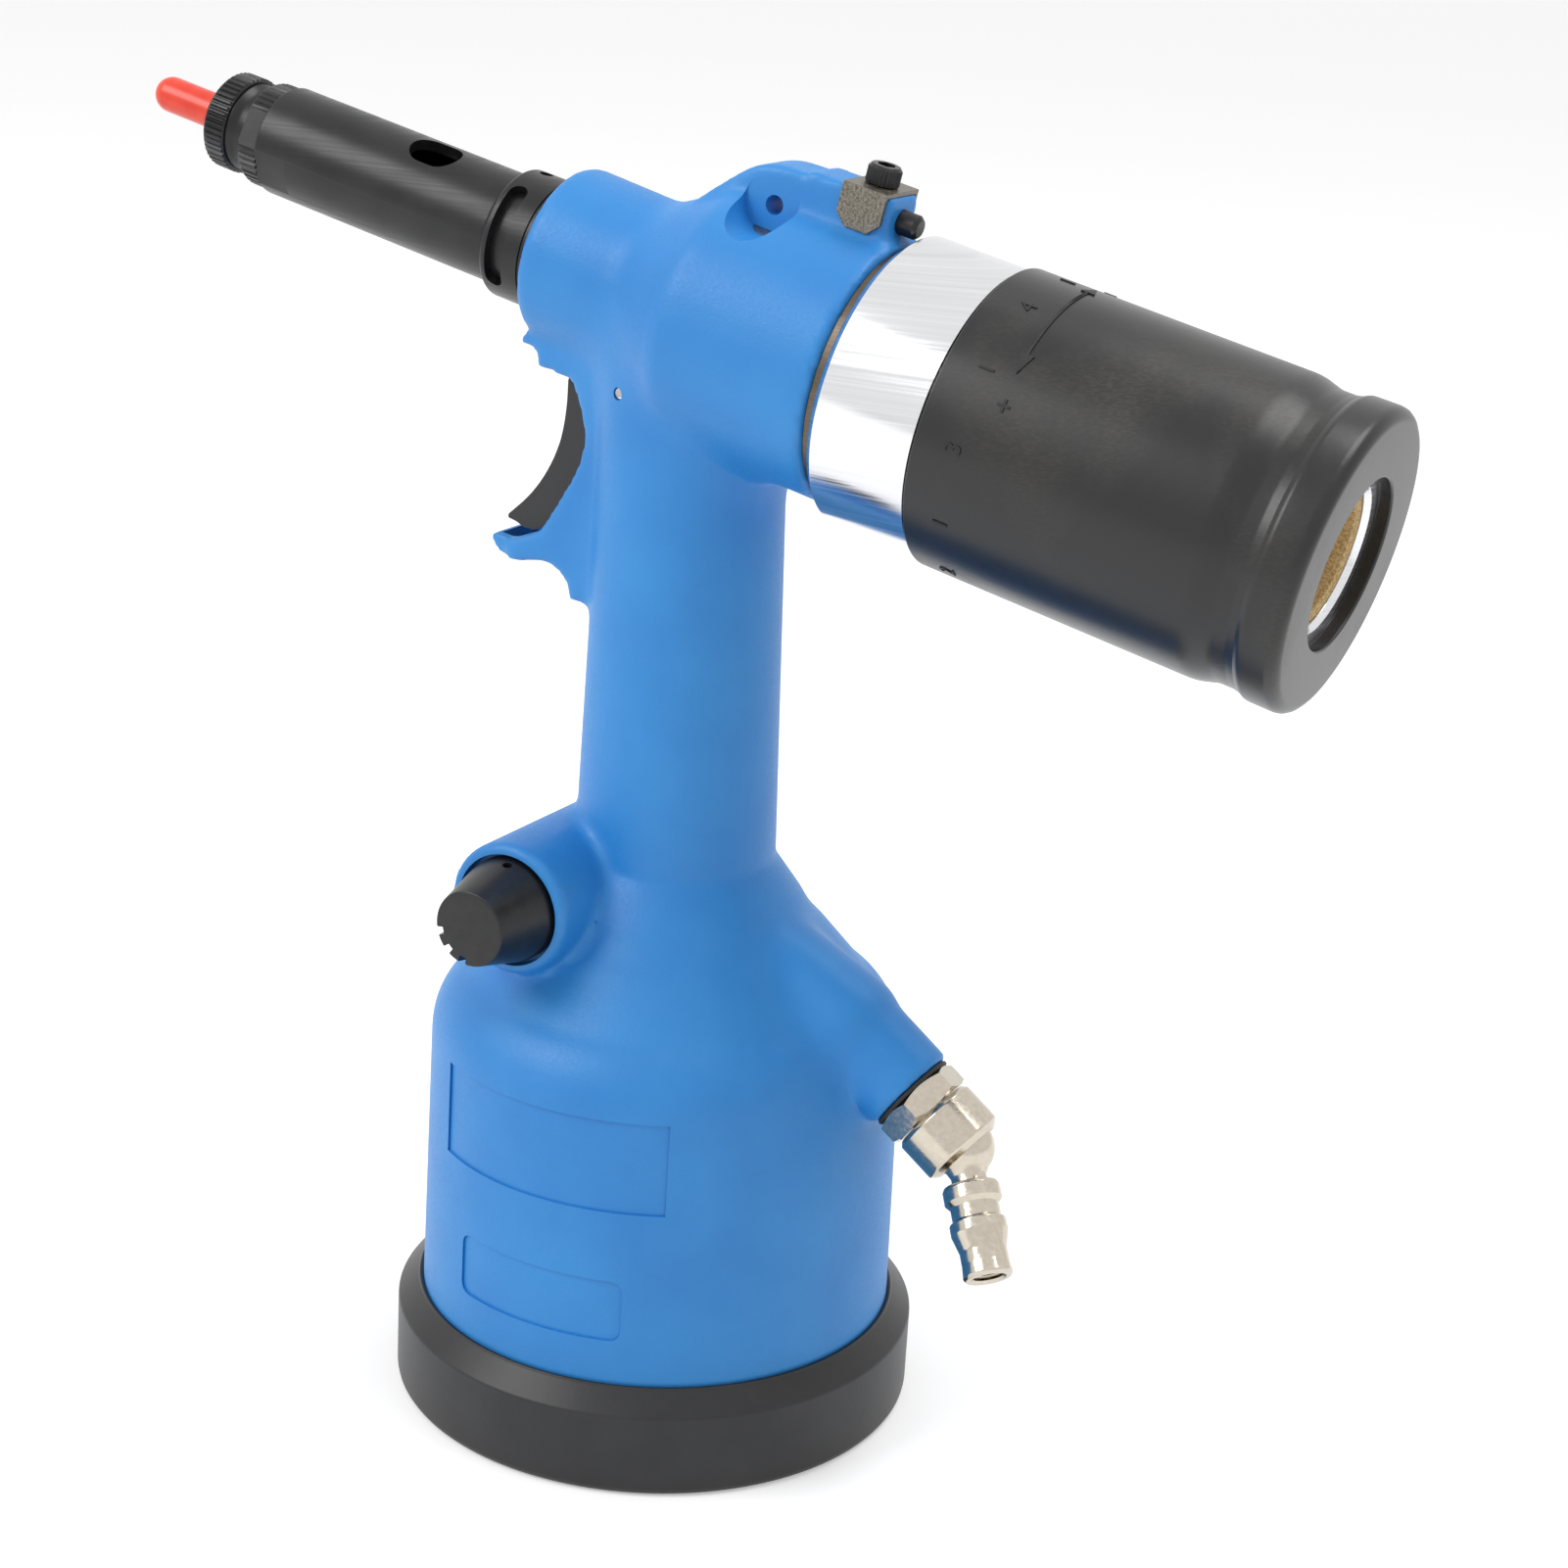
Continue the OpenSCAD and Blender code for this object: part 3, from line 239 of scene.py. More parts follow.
def dressed(piece, body, stands_for, material, sharp=35):
    """Smooth shading between sharp edges, a finish, and the body that the piece rides on."""
    piece.data.materials.clear()
    piece.data.materials.append(material)
    alone(piece)
    bpy.ops.object.shade_smooth_by_angle(angle=math.radians(sharp))
    applied(piece, "WEIGHTED_NORMAL", keep_sharp=True)
    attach(piece, body)
    if stands_for:
        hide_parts(*stands_for)
    print(piece.name, "rides on", body, "with", len(piece.data.polygons), "faces")


# %% [markdown]
# ## Finishes
#
# Each finish starts from a real material: its typical roughness, metal or not, and what its making
# left on the surface. Patterns are noise on Object coordinates, which are metres here, so a grain
# of so many millimetres has the scale of one over that size. Along the barrel, lines left by a
# lathe are noise that changes only with the station, which a Mapping node turned to the barrel
# gives.

# %% Helpers for finishes
def colour(text):
    """An sRGB hex value as linear colour."""
    parts = [int(text[i:i + 2], 16) / 255 for i in (1, 3, 5)]
    return [x / 12.92 if x <= 0.04045 else ((x + 0.055) / 1.055) ** 2.4 for x in parts] + [1]


def add(tree, kind, values=None, links=None, **settings):
    """Adds a node, gives it its settings and values, and links its inputs."""
    node = tree.nodes.new("ShaderNode" + kind)
    for key, value in settings.items():
        setattr(node, key, value)
    for key, value in (values or {}).items():
        node.inputs[key].default_value = value
    for key, socket in (links or {}).items():
        tree.links.new(socket, node.inputs[key])
    return node


def finish(name, **values):
    """A new material with its shader set, and its Object coordinates: material, tree, shader, place."""
    material = bpy.data.materials.new(name)
    material.use_nodes = True
    tree = material.node_tree
    shader = tree.nodes["Principled BSDF"]
    for key, value in values.items():
        shader.inputs[key.replace("_", " ").title()].default_value = value
    return material, tree, shader, add(tree, "TexCoord").outputs["Object"]


def noise(tree, where, size, detail=3, stretch=None, turn=(0, 0, 0)):
    """Noise with cells of so many millimetres, stretched along the axes of a turned mapping."""
    scale = [1 / (size * MM * s) if s else 0 for s in (stretch or (1, 1, 1))]
    mapped = add(tree, "Mapping", {"Rotation": turn, "Scale": scale}, {"Vector": where})
    return add(tree, "TexNoise", {"Scale": 1, "Detail": detail}, {"Vector": mapped.outputs[0]}).outputs[0]


def tint(tree, shader, factor, low, high):
    """Gives the shader a colour that goes from low to high as the factor does."""
    mix = add(tree, "Mix", {6: colour(low), 7: colour(high)}, {0: factor}, data_type="RGBA")
    tree.links.new(mix.outputs[2], shader.inputs["Base Color"])


def spread(tree, factor, low, high, start=0.35, end=0.65):
    """Maps the middle of a noise to a range."""
    return add(tree, "MapRange", {"From Min": start, "From Max": end, "To Min": low, "To Max": high},
               {"Value": factor}).outputs[0]


def shine(tree, shader, factor, *span):
    """Gives the shader a roughness from the middle of a noise."""
    tree.links.new(spread(tree, factor, *span), shader.inputs["Roughness"])


def raised(tree, shader, height, depth):
    """Feeds a height to the shader's normal, with its depth in millimetres."""
    bump = add(tree, "Bump", {"Distance": depth * MM}, {"Height": height})
    tree.links.new(bump.outputs[0], shader.inputs["Normal"])


barrel_turn = tuple(barrel.to_3x3().normalized().inverted().to_euler())
inlet_turn = tuple(inlet.to_3x3().normalized().inverted().to_euler())
plug_turn = tuple(plug.to_3x3().normalized().inverted().to_euler())


# %% Moulded and soft finishes
def moulded_nylon():
    """Glass-filled nylon from a spark-eroded mould: a fine dry grain, and a soft dull sheen."""
    material, tree, shader, where = finish("moulded_blue_nylon", roughness=0.46)
    tone = spread(tree, noise(tree, where, 30, 4), 0.0, 1.0)
    tint(tree, shader, tone, "#2781CC", "#2F8BD4")
    # The grain is about 0.2 mm on the tool and is drawn at 0.6 mm, so that it shows
    grain = noise(tree, where, 0.6, 2)
    shine(tree, shader, grain, 0.42, 0.52)
    raised(tree, shader, grain, 0.05)
    return material


def boot_rubber():
    """Dipped rubber handled for years: deep black, satin, with hazy rubbed bands and fine scores."""
    material, tree, shader, where = finish("satin_boot_rubber", roughness=0.34)
    haze = noise(tree, where, 26, 5, (1, 1, 1.6), barrel_turn)
    scores = noise(tree, where, 1.2, 3, (1, 1, 0.3), barrel_turn)
    worn = add(tree, "Math", {}, {0: spread(tree, haze, 0, 1, 0.5, 0.72),
                                  1: spread(tree, scores, 0.3, 1, 0.4, 0.7)},
               operation="MULTIPLY").outputs[0]
    tint(tree, shader, worn, "#19191B", "#37342E")
    shine(tree, shader, worn, 0.3, 0.46, 0, 1)
    raised(tree, shader, noise(tree, where, 1.5, 4), 0.02)
    return material


def cup_rubber():
    """Moulded rubber of the foot: even, a little duller than the boot."""
    material, tree, shader, where = finish("moulded_cup_rubber", roughness=0.42)
    tone = spread(tree, noise(tree, where, 14, 5), 0, 1)
    tint(tree, shader, tone, "#171719", "#212123")
    raised(tree, shader, noise(tree, where, 0.9, 3), 0.03)
    return material


def seal_rubber():
    """Soft nitrile of O-rings and washers: dull and deep black."""
    material, tree, shader, where = finish("nitrile_seal_rubber", roughness=0.6)
    tone = spread(tree, noise(tree, where, 4, 3), 0, 1)
    tint(tree, shader, tone, "#131314", "#1E1E1F")
    return material


def trigger_plastic():
    """Moulded acetal of the trigger: charcoal, dull, with a fine grain."""
    material, tree, shader, where = finish("moulded_black_acetal", roughness=0.48)
    grain = noise(tree, where, 0.5, 2)
    tint(tree, shader, grain, "#1D1D1F", "#29292A")
    raised(tree, shader, grain, 0.03)
    return material


def cap_vinyl():
    """Dip-moulded soft vinyl: bright orange red, smooth, with light that sinks in a little."""
    material, tree, shader, where = finish("dipped_red_vinyl", roughness=0.3, subsurface_weight=0.12,
                                           subsurface_scale=0.0015)
    tone = spread(tree, noise(tree, where, 5, 2), 0, 1)
    tint(tree, shader, tone, "#DE3620", "#EA4529")
    raised(tree, shader, noise(tree, where, 2.5, 2), 0.03)
    return material


# %% Metal finishes
def black_oxide():
    """Steel blackened in a hot bath: near black with a soft metal sheen and faint lathe lines."""
    material, tree, shader, where = finish("black_oxide_steel", roughness=0.34, metallic=0.25)
    tone = spread(tree, noise(tree, where, 8, 5), 0, 1)
    tint(tree, shader, tone, "#161617", "#202022")
    lines = noise(tree, where, 0.5, 2, (0, 0, 1), barrel_turn)
    shine(tree, shader, lines, 0.3, 0.4)
    raised(tree, shader, lines, 0.01)
    return material


def knob_anodised():
    """Aluminium anodised black: smooth and even, a little softer in its shine than oxide."""
    material, tree, shader, where = finish("black_anodised_aluminium", roughness=0.36, metallic=0.15)
    tone = spread(tree, noise(tree, where, 3, 4), 0, 1)
    tint(tree, shader, tone, "#151517", "#1E1E20")
    raised(tree, shader, noise(tree, where, 0.4, 2), 0.01)
    return material


def polished_aluminium():
    """Turned and polished aluminium: mirror bright, with the cutter's rings still faintly there."""
    material, tree, shader, where = finish("turned_polished_aluminium", metallic=1.0, roughness=0.16)
    rings = noise(tree, where, 0.6, 4, (0, 0, 1), barrel_turn)
    tint(tree, shader, rings, "#D2D3D6", "#EEEEF0")
    shine(tree, shader, rings, 0.1, 0.24)
    raised(tree, shader, rings, 0.012)
    return material


def dark_band_steel():
    """Heat-browned steel of the ring behind the head: warm, dark and brushed round."""
    material, tree, shader, where = finish("browned_steel", metallic=1.0, roughness=0.33)
    lines = noise(tree, where, 0.3, 3, (0, 0, 1), barrel_turn)
    tint(tree, shader, lines, "#4C443D", "#7A6E62")
    raised(tree, shader, lines, 0.01)
    return material


def clip_steel():
    """Pressed spring plate, tumbled after plating: grey brown, grainy and half bright."""
    material, tree, shader, where = finish("tumbled_plate_steel", metallic=0.9, roughness=0.42)
    grain = noise(tree, where, 0.5, 4)
    tint(tree, shader, spread(tree, grain, 0, 1), "#5B564E", "#8D877B")
    shine(tree, shader, grain, 0.3, 0.52)
    raised(tree, shader, grain, 0.06)
    return material


def nickel_plate(name, turn):
    """Bright nickel on brass: warm and mirror-like, with turning rings under the plate."""
    material, tree, shader, where = finish(name, metallic=1.0, roughness=0.15)
    rings = noise(tree, where, 0.5, 3, (0, 0, 1), turn)
    spots = noise(tree, where, 1.1, 4)
    tint(tree, shader, spots, "#B9AF9F", "#D3CBBD")
    shine(tree, shader, spots, 0.1, 0.22)
    raised(tree, shader, rings, 0.015)
    return material


def sintered_bronze(name, depth):
    """Bronze grains pressed and fused: dull tan, rough with grains of about half a millimetre."""
    material, tree, shader, where = finish(name, roughness=0.75, metallic=0.35)
    grains = add(tree, "TexVoronoi", {"Scale": 1 / (0.55 * MM)}, {"Vector": where}).outputs["Distance"]
    speckle = noise(tree, where, 0.5, 4)
    tint(tree, shader, spread(tree, speckle, 0, 1), "#A98A55", "#DCC391")
    turned_down = add(tree, "Math", {0: 1.0}, {1: grains}, operation="SUBTRACT").outputs[0]
    raised(tree, shader, turned_down, depth)
    return material


def machined(name, dark, light, rough, size):
    """Inner metal pieces: an even metal with a fine machined or cast texture of a given size."""
    material, tree, shader, where = finish(name, metallic=1.0, roughness=rough)
    grain = noise(tree, where, size, 4)
    tint(tree, shader, grain, dark, light)
    shine(tree, shader, grain, rough - 0.06, rough + 0.08)
    raised(tree, shader, grain, size * 0.03)
    return material


def vane_laminate():
    """Pressed cloth and resin of the motor vanes: brown, with its layers showing as lines."""
    material, tree, shader, where = finish("pressed_cloth_laminate", roughness=0.55)
    layers = noise(tree, where, 0.4, 2, (1, 0.3, 1), barrel_turn)
    tint(tree, shader, layers, "#5D4129", "#8A6440")
    return material


blue = moulded_nylon()
boot_black = boot_rubber()
cup_black = cup_rubber()
seal_black = seal_rubber()
oxide = black_oxide()
print("finishes", len(bpy.data.materials))

# %% [markdown]
# ## The blue body, first as plain solids
#
# The real body is one moulding: an air cylinder cover, a handle, a head and several bosses, with
# the mould maker's radii where they meet. Such a form is hard to draw as one surface. It is easier
# to turn and push each plain solid, join them, and let a fine remesh give one even skin.

# %% Solids of the body
body_low, body_high = spans("housing", upright)
BASE_R, FOOT_Z = body_high.y, body_low.z
CUP_TOP = spans("base_cup", upright)[1].z
SHOULDER_Z, SHOULDER_R = 84, BASE_R - 0.8
NECK_Z, HANDLE_LOW_R, HANDLE_TOP_R = 126.5, 22, 19.9
NOSE_R = spans("nose_barrel", barrel)[1].y
HEAD_FRONT = -34.5
HEAD_REAR = spans("head_end_ring", barrel)[1].z - 2.15
FIN_W, FIN_H = 12, spans("housing", barrel)[1].x
PIN_H = (spans("lock_pin", barrel)[0].x + spans("lock_pin", barrel)[1].x) / 2
BOSS_R, BOSS_MOUTH = 14.5, 0.0
TRIGGER_W = spans("trigger", upright)[1].y * 2
GUARD_W = TRIGGER_W + 6.6

column = turned("housing_body", [(0, FOOT_Z), (BASE_R, FOOT_Z), (BASE_R, CUP_TOP), (SHOULDER_R, SHOULDER_Z)]
                + arc((SHOULDER_R - 17, SHOULDER_Z), 17, 8, 57, 10) + arc((51, 128.5), 25, 229, 207, 6)
                + [(HANDLE_LOW_R, NECK_Z), (HANDLE_TOP_R, 205), (HANDLE_TOP_R, axis_z - 4), (0, axis_z - 4)],
                upright, 128)
head = turned("head", [(0, HEAD_FRONT), (18.7, HEAD_FRONT, 2.6), (18.2, -14)]
              + arc((30.2, -14), 12, 180, 146, 6) + arc((19.6, 8), 8, -38, 0, 6)
              + [(27.8, HEAD_REAR, 0.7), (0, HEAD_REAR)], barrel, 128)
FIN_REAR = 39.4
fin_line = [(14, FIN_REAR), (14, -9), (FIN_H - 21.9, -9), (FIN_H - 16.9, -6), (FIN_H - 11.9, -1.9, 30),
            (FIN_H - 6.7, 3.4, 20), (FIN_H - 3.3, 7, 15), (FIN_H - 1.1, 12, 15), (FIN_H - 0.9, 19.6),
            (FIN_H, 20.4), (FIN_H, FIN_REAR)]
fin = slab("fin", fin_line, FIN_W, barrel)
softened(fin, 0.8, 2, 50)
guard = slab("guard", [(-33.9, 229.2), (-34.2, 233.2), (-39, 234.2), (-30, 245), (0, 245), (0, 180)]
             + arc((-31.5, 180.3), 7.3, 0, 95, 6) + [(-37.6, 186.6), (-40.4, 186.7), (-40.4, 190.8)]
             + [(-32.2, 194.2, 3), (-28.7, 199.8, 30), (-24.8, 206.3, 30), (-22.3, 211.6, 14),
                (-21.6, 217.2, 14),
                (-23.4, 223.3, 14), (-25.6, 228.2), (-29.3, 228.4), (-29.8, 229.2)], GUARD_W, upright)
softened(guard, 0.7, 2, 50)
lip = slab("lip", [(-38, 186.7), (-41, 186.7)] + arc((-40.8, 191.4), 4.7, 265, 183, 6)
           + [(-44.6, 191.9), (-38, 191)], GUARD_W - 3, upright)
softened(lip, 0.7, 2, 50)
boss = turned("boss", arc((0, BOSS_MOUTH - 48), BOSS_R, -90, 0, 8)
              + [(BOSS_R, BOSS_MOUTH, 1.4), (0, BOSS_MOUTH)], valve)
SPOUT_R, SPOUT_IN = 10.5, 20
spout = turned("spout", [(0, -SPOUT_IN), (SPOUT_R, -SPOUT_IN), (SPOUT_R, 0, 1.2), (0, 0)], inlet)
LUMP_R, LUMP_DROP, LUMP_LEAN = 13, 1.75, 10
lump_place = inlet @ Matrix.Translation((-LUMP_DROP, 0,
                                         -SPOUT_IN)) @ Matrix.Rotation(math.radians(LUMP_LEAN), 4, "Y")
lump = turned("lump", [(0, -26), (LUMP_R, -26)] + arc((0, 0), LUMP_R, 0, 90, 10), lump_place)
print("head rear station", round(HEAD_REAR, 2), "fin height", round(FIN_H, 2))

# %% [markdown]
# ## One skin with filled corners
#
# A voxel remesh joins the solids into one even skin of small squares, about a millimetre each.
# Plain smoothing would also shrink the handle, so the corners are filled another way: where two
# solids both lie near, each point may only move outwards, towards the middle of its neighbours.
# Repeated, that lays a fillet in the corner and leaves the rest of the skin where it is.

# %% Remesh and fill
SKIN, FILL_ROUNDS, FILL_STEP = 1.05, 150, 0.6


def tree_of(piece):
    """A search tree of a solid's surface."""
    mesh = piece.data
    return BVHTree.FromPolygons([v.co for v in mesh.vertices], [p.vertices[:] for p in mesh.polygons])


def skin_normals(points, faces):
    """Normals of the points of a skin of four-sided faces."""
    across = np.cross(points[faces[:, 2]] - points[faces[:, 0]], points[faces[:, 3]] - points[faces[:, 1]])
    total = np.stack([np.bincount(faces.ravel(), np.repeat(across[:, k], 4),
                                  len(points)) for k in range(3)], 1)
    return total / np.maximum(np.linalg.norm(total, axis=1), 1e-12)[:, None]


def fill_corners(piece, seams, trees):
    """Fills the inner corner where two solids meet, out to a reach in millimetres for each pair."""
    mesh = piece.data
    count = len(mesh.vertices)
    points = np.empty(count * 3)
    mesh.vertices.foreach_get("co", points)
    points = points.reshape(-1, 3)
    edges = np.empty(len(mesh.edges) * 2, int)
    mesh.edges.foreach_get("vertices", edges)
    edges = edges.reshape(-1, 2)
    faces = np.array([p.vertices[:] for p in mesh.polygons])
    near = {key: np.array([tree.find_nearest(p)[3] for p in points]) / MM for key, tree in trees.items()}
    longest = max(reach for _, _, reach in seams)
    strength = np.zeros(count)
    for one, other, reach in seams:
        share = np.clip(1 - np.maximum(near[one], near[other]) / reach, 0, 1)
        strength = np.maximum(strength, np.sqrt(share) * (reach / longest) ** 2)
    shared = np.bincount(edges.ravel(), minlength=count)
    for _ in range(FILL_ROUNDS):
        total = np.stack([np.bincount(edges[:, 0], points[edges[:, 1], k], count)
                          + np.bincount(edges[:, 1], points[edges[:, 0], k], count) for k in range(3)], 1)
        normals = skin_normals(points, faces)
        outward = np.einsum("ij,ij->i", total / shared[:, None] - points, normals)
        points += (strength * FILL_STEP * np.maximum(outward, 0))[:, None] * normals
    mesh.vertices.foreach_set("co", points.ravel())
    mesh.update()
    print("corner points", int((strength > 0).sum()), "of", count)


solids = {"column": column, "head": head, "fin": fin, "guard": guard, "boss": boss, "spout": spout,
          "lump": lump}
trees = {key: tree_of(piece) for key, piece in solids.items()}
housing = cut(column, head, fin, guard, lip, boss, spout, lump, operation="UNION")
applied(housing, "REMESH", mode="VOXEL", voxel_size=SKIN * MM, adaptivity=0)
fill_corners(housing, [("column", "head", 11), ("column", "boss", 3), ("column", "lump", 7),
                       ("lump", "spout", 5),
                       ("column", "spout", 5), ("head", "fin", 2.5), ("head", "guard", 5),
                       ("column", "guard", 5)],
             trees)
applied(housing, "SMOOTH", factor=0.5, iterations=2)

# %% [markdown]
# ## Crisp cuts in the soft skin
#
# Bores, slots and recesses are cut after the remesh, so their edges stay as sharp as the mould's
# steel left them: the bore of the air cylinder, the seats of the barrel and motor, the slot of the
# trigger, the hanging hole with its two scoops, and the two bare sign panels on the base.

# %% Cuts of the body
cylinder_r = spans("air_cylinder", upright)[1].x + 0.05
cylinder_top = spans("air_cylinder", upright)[1].z
gland_r = 13.55
COLLAR_R = spans("slotted_collar", barrel)[1].y
END_R = 22.55
cut(housing,
    drum(cylinder_r, -5, cylinder_top + 0.1, upright), drum(gland_r, 60, 93, upright),
    drum(11, 80, 210, upright), drum(END_R, 3, 60, barrel), drum(7.8, -20, 20, barrel),
    drum(NOSE_R + 0.1, HEAD_FRONT - 5, -18.4, barrel), drum(COLLAR_R + 0.1, HEAD_FRONT - 5, -31.4, barrel))
HOLE_S, HOLE_H = 14.3, 26.9
across = barrel @ Matrix.Translation((HOLE_H, 0, HOLE_S)) @ Matrix.Rotation(math.pi / 2, 4, "X")
scoop = barrel @ Matrix.Translation((HOLE_H + 0.3, 0, HOLE_S - 0.5)) @ Matrix.Rotation(math.pi / 2, 4, "X")
pin_seat = barrel @ Matrix.Translation((PIN_H, 0, 0))
CLAMP_S = (spans("clamp_clip", barrel)[0].z + spans("clamp_clip", barrel)[1].z) / 2
screw_hole = barrel @ Matrix.Translation((0, 0, CLAMP_S)) @ Matrix.Rotation(math.pi / 2, 4, "Y")
cut(housing, drum(2, -30, 30, across, 48), drum(6.3, FIN_W / 2, 20, scoop),
    drum(6.3, -20, -FIN_W / 2, scoop),
    drum(2.56, 25, 50, pin_seat, 48), drum(2.06, PIN_H, 45, screw_hole, 48))
slot_w = TRIGGER_W + 0.6
cut(housing,
    slab("cutter", [(-43.4, 189.4), (-13.5, 189.4), (-13.5, 229), (-43.4, 229)], slot_w, upright),
    slab("cutter", [(-24, 211.4), (-3.8, 211.4), (-3.8, 233), (-24, 233)], slot_w, upright))
pivot = Vector(joints["trigger_pull"]["pos_m"])
pivot_place = place(pivot, (0, -1, 0), UP)
rod_place = upright @ Matrix.Translation((spans("trigger_rod", upright)[0].x + 2.4, 0, 0))
cut(housing, drum(1.35, -40, 40, pivot_place, 48), drum(1.65, 124, 194, rod_place, 48),
    drum(3, 160, 194, rod_place, 48),
    drum(12.3, BOSS_MOUTH - 3.2, BOSS_MOUTH + 5, valve), drum(3.7, BOSS_MOUTH - 24, BOSS_MOUTH, valve, 48),
    drum(6.55, -13, 5, inlet, 48))


def sign_panel(bottom, top, half_width, corner):
    """A shallow recess on the near side of the base, for a plate that is left bare."""
    line = [(x, z, corner) if corner else (x, z) for x, z in
            ((-half_width, bottom), (half_width, bottom), (half_width, top), (-half_width, top))]
    block = pushed("cutter", [(x, -80, z) for x, z in rounded(line)], (0, 75, 0), upright)
    core = turned("core", [(0, -5), (BASE_R - 0.55, -5), (BASE_R - 0.55, CUP_TOP),
                           (SHOULDER_R - 0.55, SHOULDER_Z),
                           (SHOULDER_R - 3, 99), (0, 99)], upright, 192)
    return cut(block, core)


cut(housing, sign_panel(63.4, 84.1, 27.7, 0), sign_panel(33.5, 47.5, 20.4, 2.4))
dressed(housing, "frame", ["housing"], blue, 50)

# %% [markdown]
# ## Foot cup and its rubber
#
# The air cylinder stands in a thick rubber cup that keeps it from sliding and takes knocks. It is
# turned as one closed profile, with a wide chamfer above and a rolled lip at the blue body.

# %% Foot cup
cup_r = spans("base_cup", upright)[1].x
cup = turned("foot_cup", [(0, 0.6), (cup_r - 12, 0.6), (cup_r - 13, 0), (cup_r, 0, 2.2), (cup_r, 18.8, 1.2),
                          (BASE_R + 1.2, CUP_TOP - 0.7, 0.5), (BASE_R + 0.9, CUP_TOP - 0.2, 0.25),
                          (BASE_R + 0.05, CUP_TOP - 0.5),
                          (BASE_R + 0.05, FOOT_Z), (0, FOOT_Z)], upright, 160)
dressed(cup, "frame", ["base_cup"], cup_black)

# %% [markdown]
# ## The black nose
#
# Barrel, slotted collar, lock nut and anvil are turned from steel bar and blackened. What the eye
# reads as steel is the thin bright line on each edge, so every cut is followed by a small bevel.
# The knurl is a star outline pushed along the axis and then trimmed by a chamfered blank.

# %% Nose barrel and collar
nose_low, nose_high = spans("nose_barrel", barrel)
nose = turned("nose_tube", [(NOSE_R - 2.4, nose_high.z), (NOSE_R, nose_high.z), (NOSE_R, nose_low.z, 0.5),
                            (7.5, nose_low.z), (7.5, nose_low.z + 12), (NOSE_R - 2.4, nose_low.z + 12)],
              barrel, 128, True)
WINDOW_S, WINDOW_L, WINDOW_W = -68, 12, 8.8
NOSE_FLATS = (115, 295)
window_place = barrel @ Matrix.Rotation(math.radians(20), 4, "Z")
round_r = WINDOW_W / 2 - 0.05
window_line = [(-WINDOW_W / 2, WINDOW_S - WINDOW_L / 2, round_r),
               (WINDOW_W / 2, WINDOW_S - WINDOW_L / 2, round_r),
               (WINDOW_W / 2, WINDOW_S + WINDOW_L / 2, round_r),
               (-WINDOW_W / 2, WINDOW_S + WINDOW_L / 2, round_r)]
cut(nose, pushed("cutter", [(0, y, s) for y, s in rounded(window_line, 8)], (20, 0, 0), window_place))
for angle in NOSE_FLATS:
    flat = barrel @ Matrix.Rotation(math.radians(angle), 4, "Z")
    cut(nose, slab("cutter", [(NOSE_R - 0.8, nose_low.z - 2), (NOSE_R + 5, nose_low.z - 2),
                              (NOSE_R + 5, nose_low.z + 8.7), (NOSE_R - 0.8, nose_low.z + 8.7)], 24, flat))
softened(nose, 0.18)
dressed(nose, "frame", ["nose_barrel"], oxide)

collar_low, collar_high = spans("slotted_collar", barrel)
LINE_S = -36.8
collar = turned("slotted_ring", [(NOSE_R + 0.05, collar_high.z), (COLLAR_R, collar_high.z),
                                 (COLLAR_R, LINE_S + 1.4),
                                 (COLLAR_R - 0.25, LINE_S + 1.3), (COLLAR_R - 0.25, LINE_S + 1.1),
                                 (COLLAR_R, LINE_S + 1),
                                 (COLLAR_R, LINE_S + 0.2), (COLLAR_R - 0.3, LINE_S + 0.1),
                                 (COLLAR_R - 0.3, LINE_S - 0.1),
                                 (COLLAR_R, LINE_S - 0.2), (COLLAR_R, collar_low.z + 1, 1),
                                 (COLLAR_R - 1, collar_low.z, 0.3),
                                 (NOSE_R + 0.05, collar_low.z)], barrel, 128, True)
SLOT_S, SLOT_W = -43, 4.2
sector = arc((0, 0), NOSE_R - 1, 40, 122, 16) + arc((0, 0), COLLAR_R + 4, 122, 40, 16)
cut(collar, pushed("cutter", [(x, y, SLOT_S - SLOT_W / 2) for x, y in sector], (0, 0, SLOT_W), barrel))
for angle, radius in ((40, SLOT_W / 2), (122, SLOT_W / 2), (-3, 1.5)):
    radial = barrel @ Matrix.Translation((0, 0, SLOT_S)) @ Matrix.Rotation(math.radians(angle), 4, "Z")
    cut(collar, drum(radius, 5, 25, radial @ Matrix.Rotation(math.pi / 2, 4, "Y"), 32))
softened(collar, 0.2)
dressed(collar, "frame", ["slotted_collar"], oxide)


# %% Knurled rings
def knurled(name, radius, depth, teeth, low, high, blank):
    """A straight knurl between two stations, trimmed by a turned blank that chamfers its ends."""
    line = []
    for i in range(teeth):
        for share, r in ((0.0, radius - depth), (0.18, radius - depth), (0.42, radius), (0.76, radius)):
            angle = math.tau * (i + share) / teeth
            line.append((r * math.cos(angle), r * math.sin(angle), low))
    ring = pushed(name, line, (0, 0, high - low), barrel)
    return cut(ring, turned("cutter", blank, barrel), operation="INTERSECT")


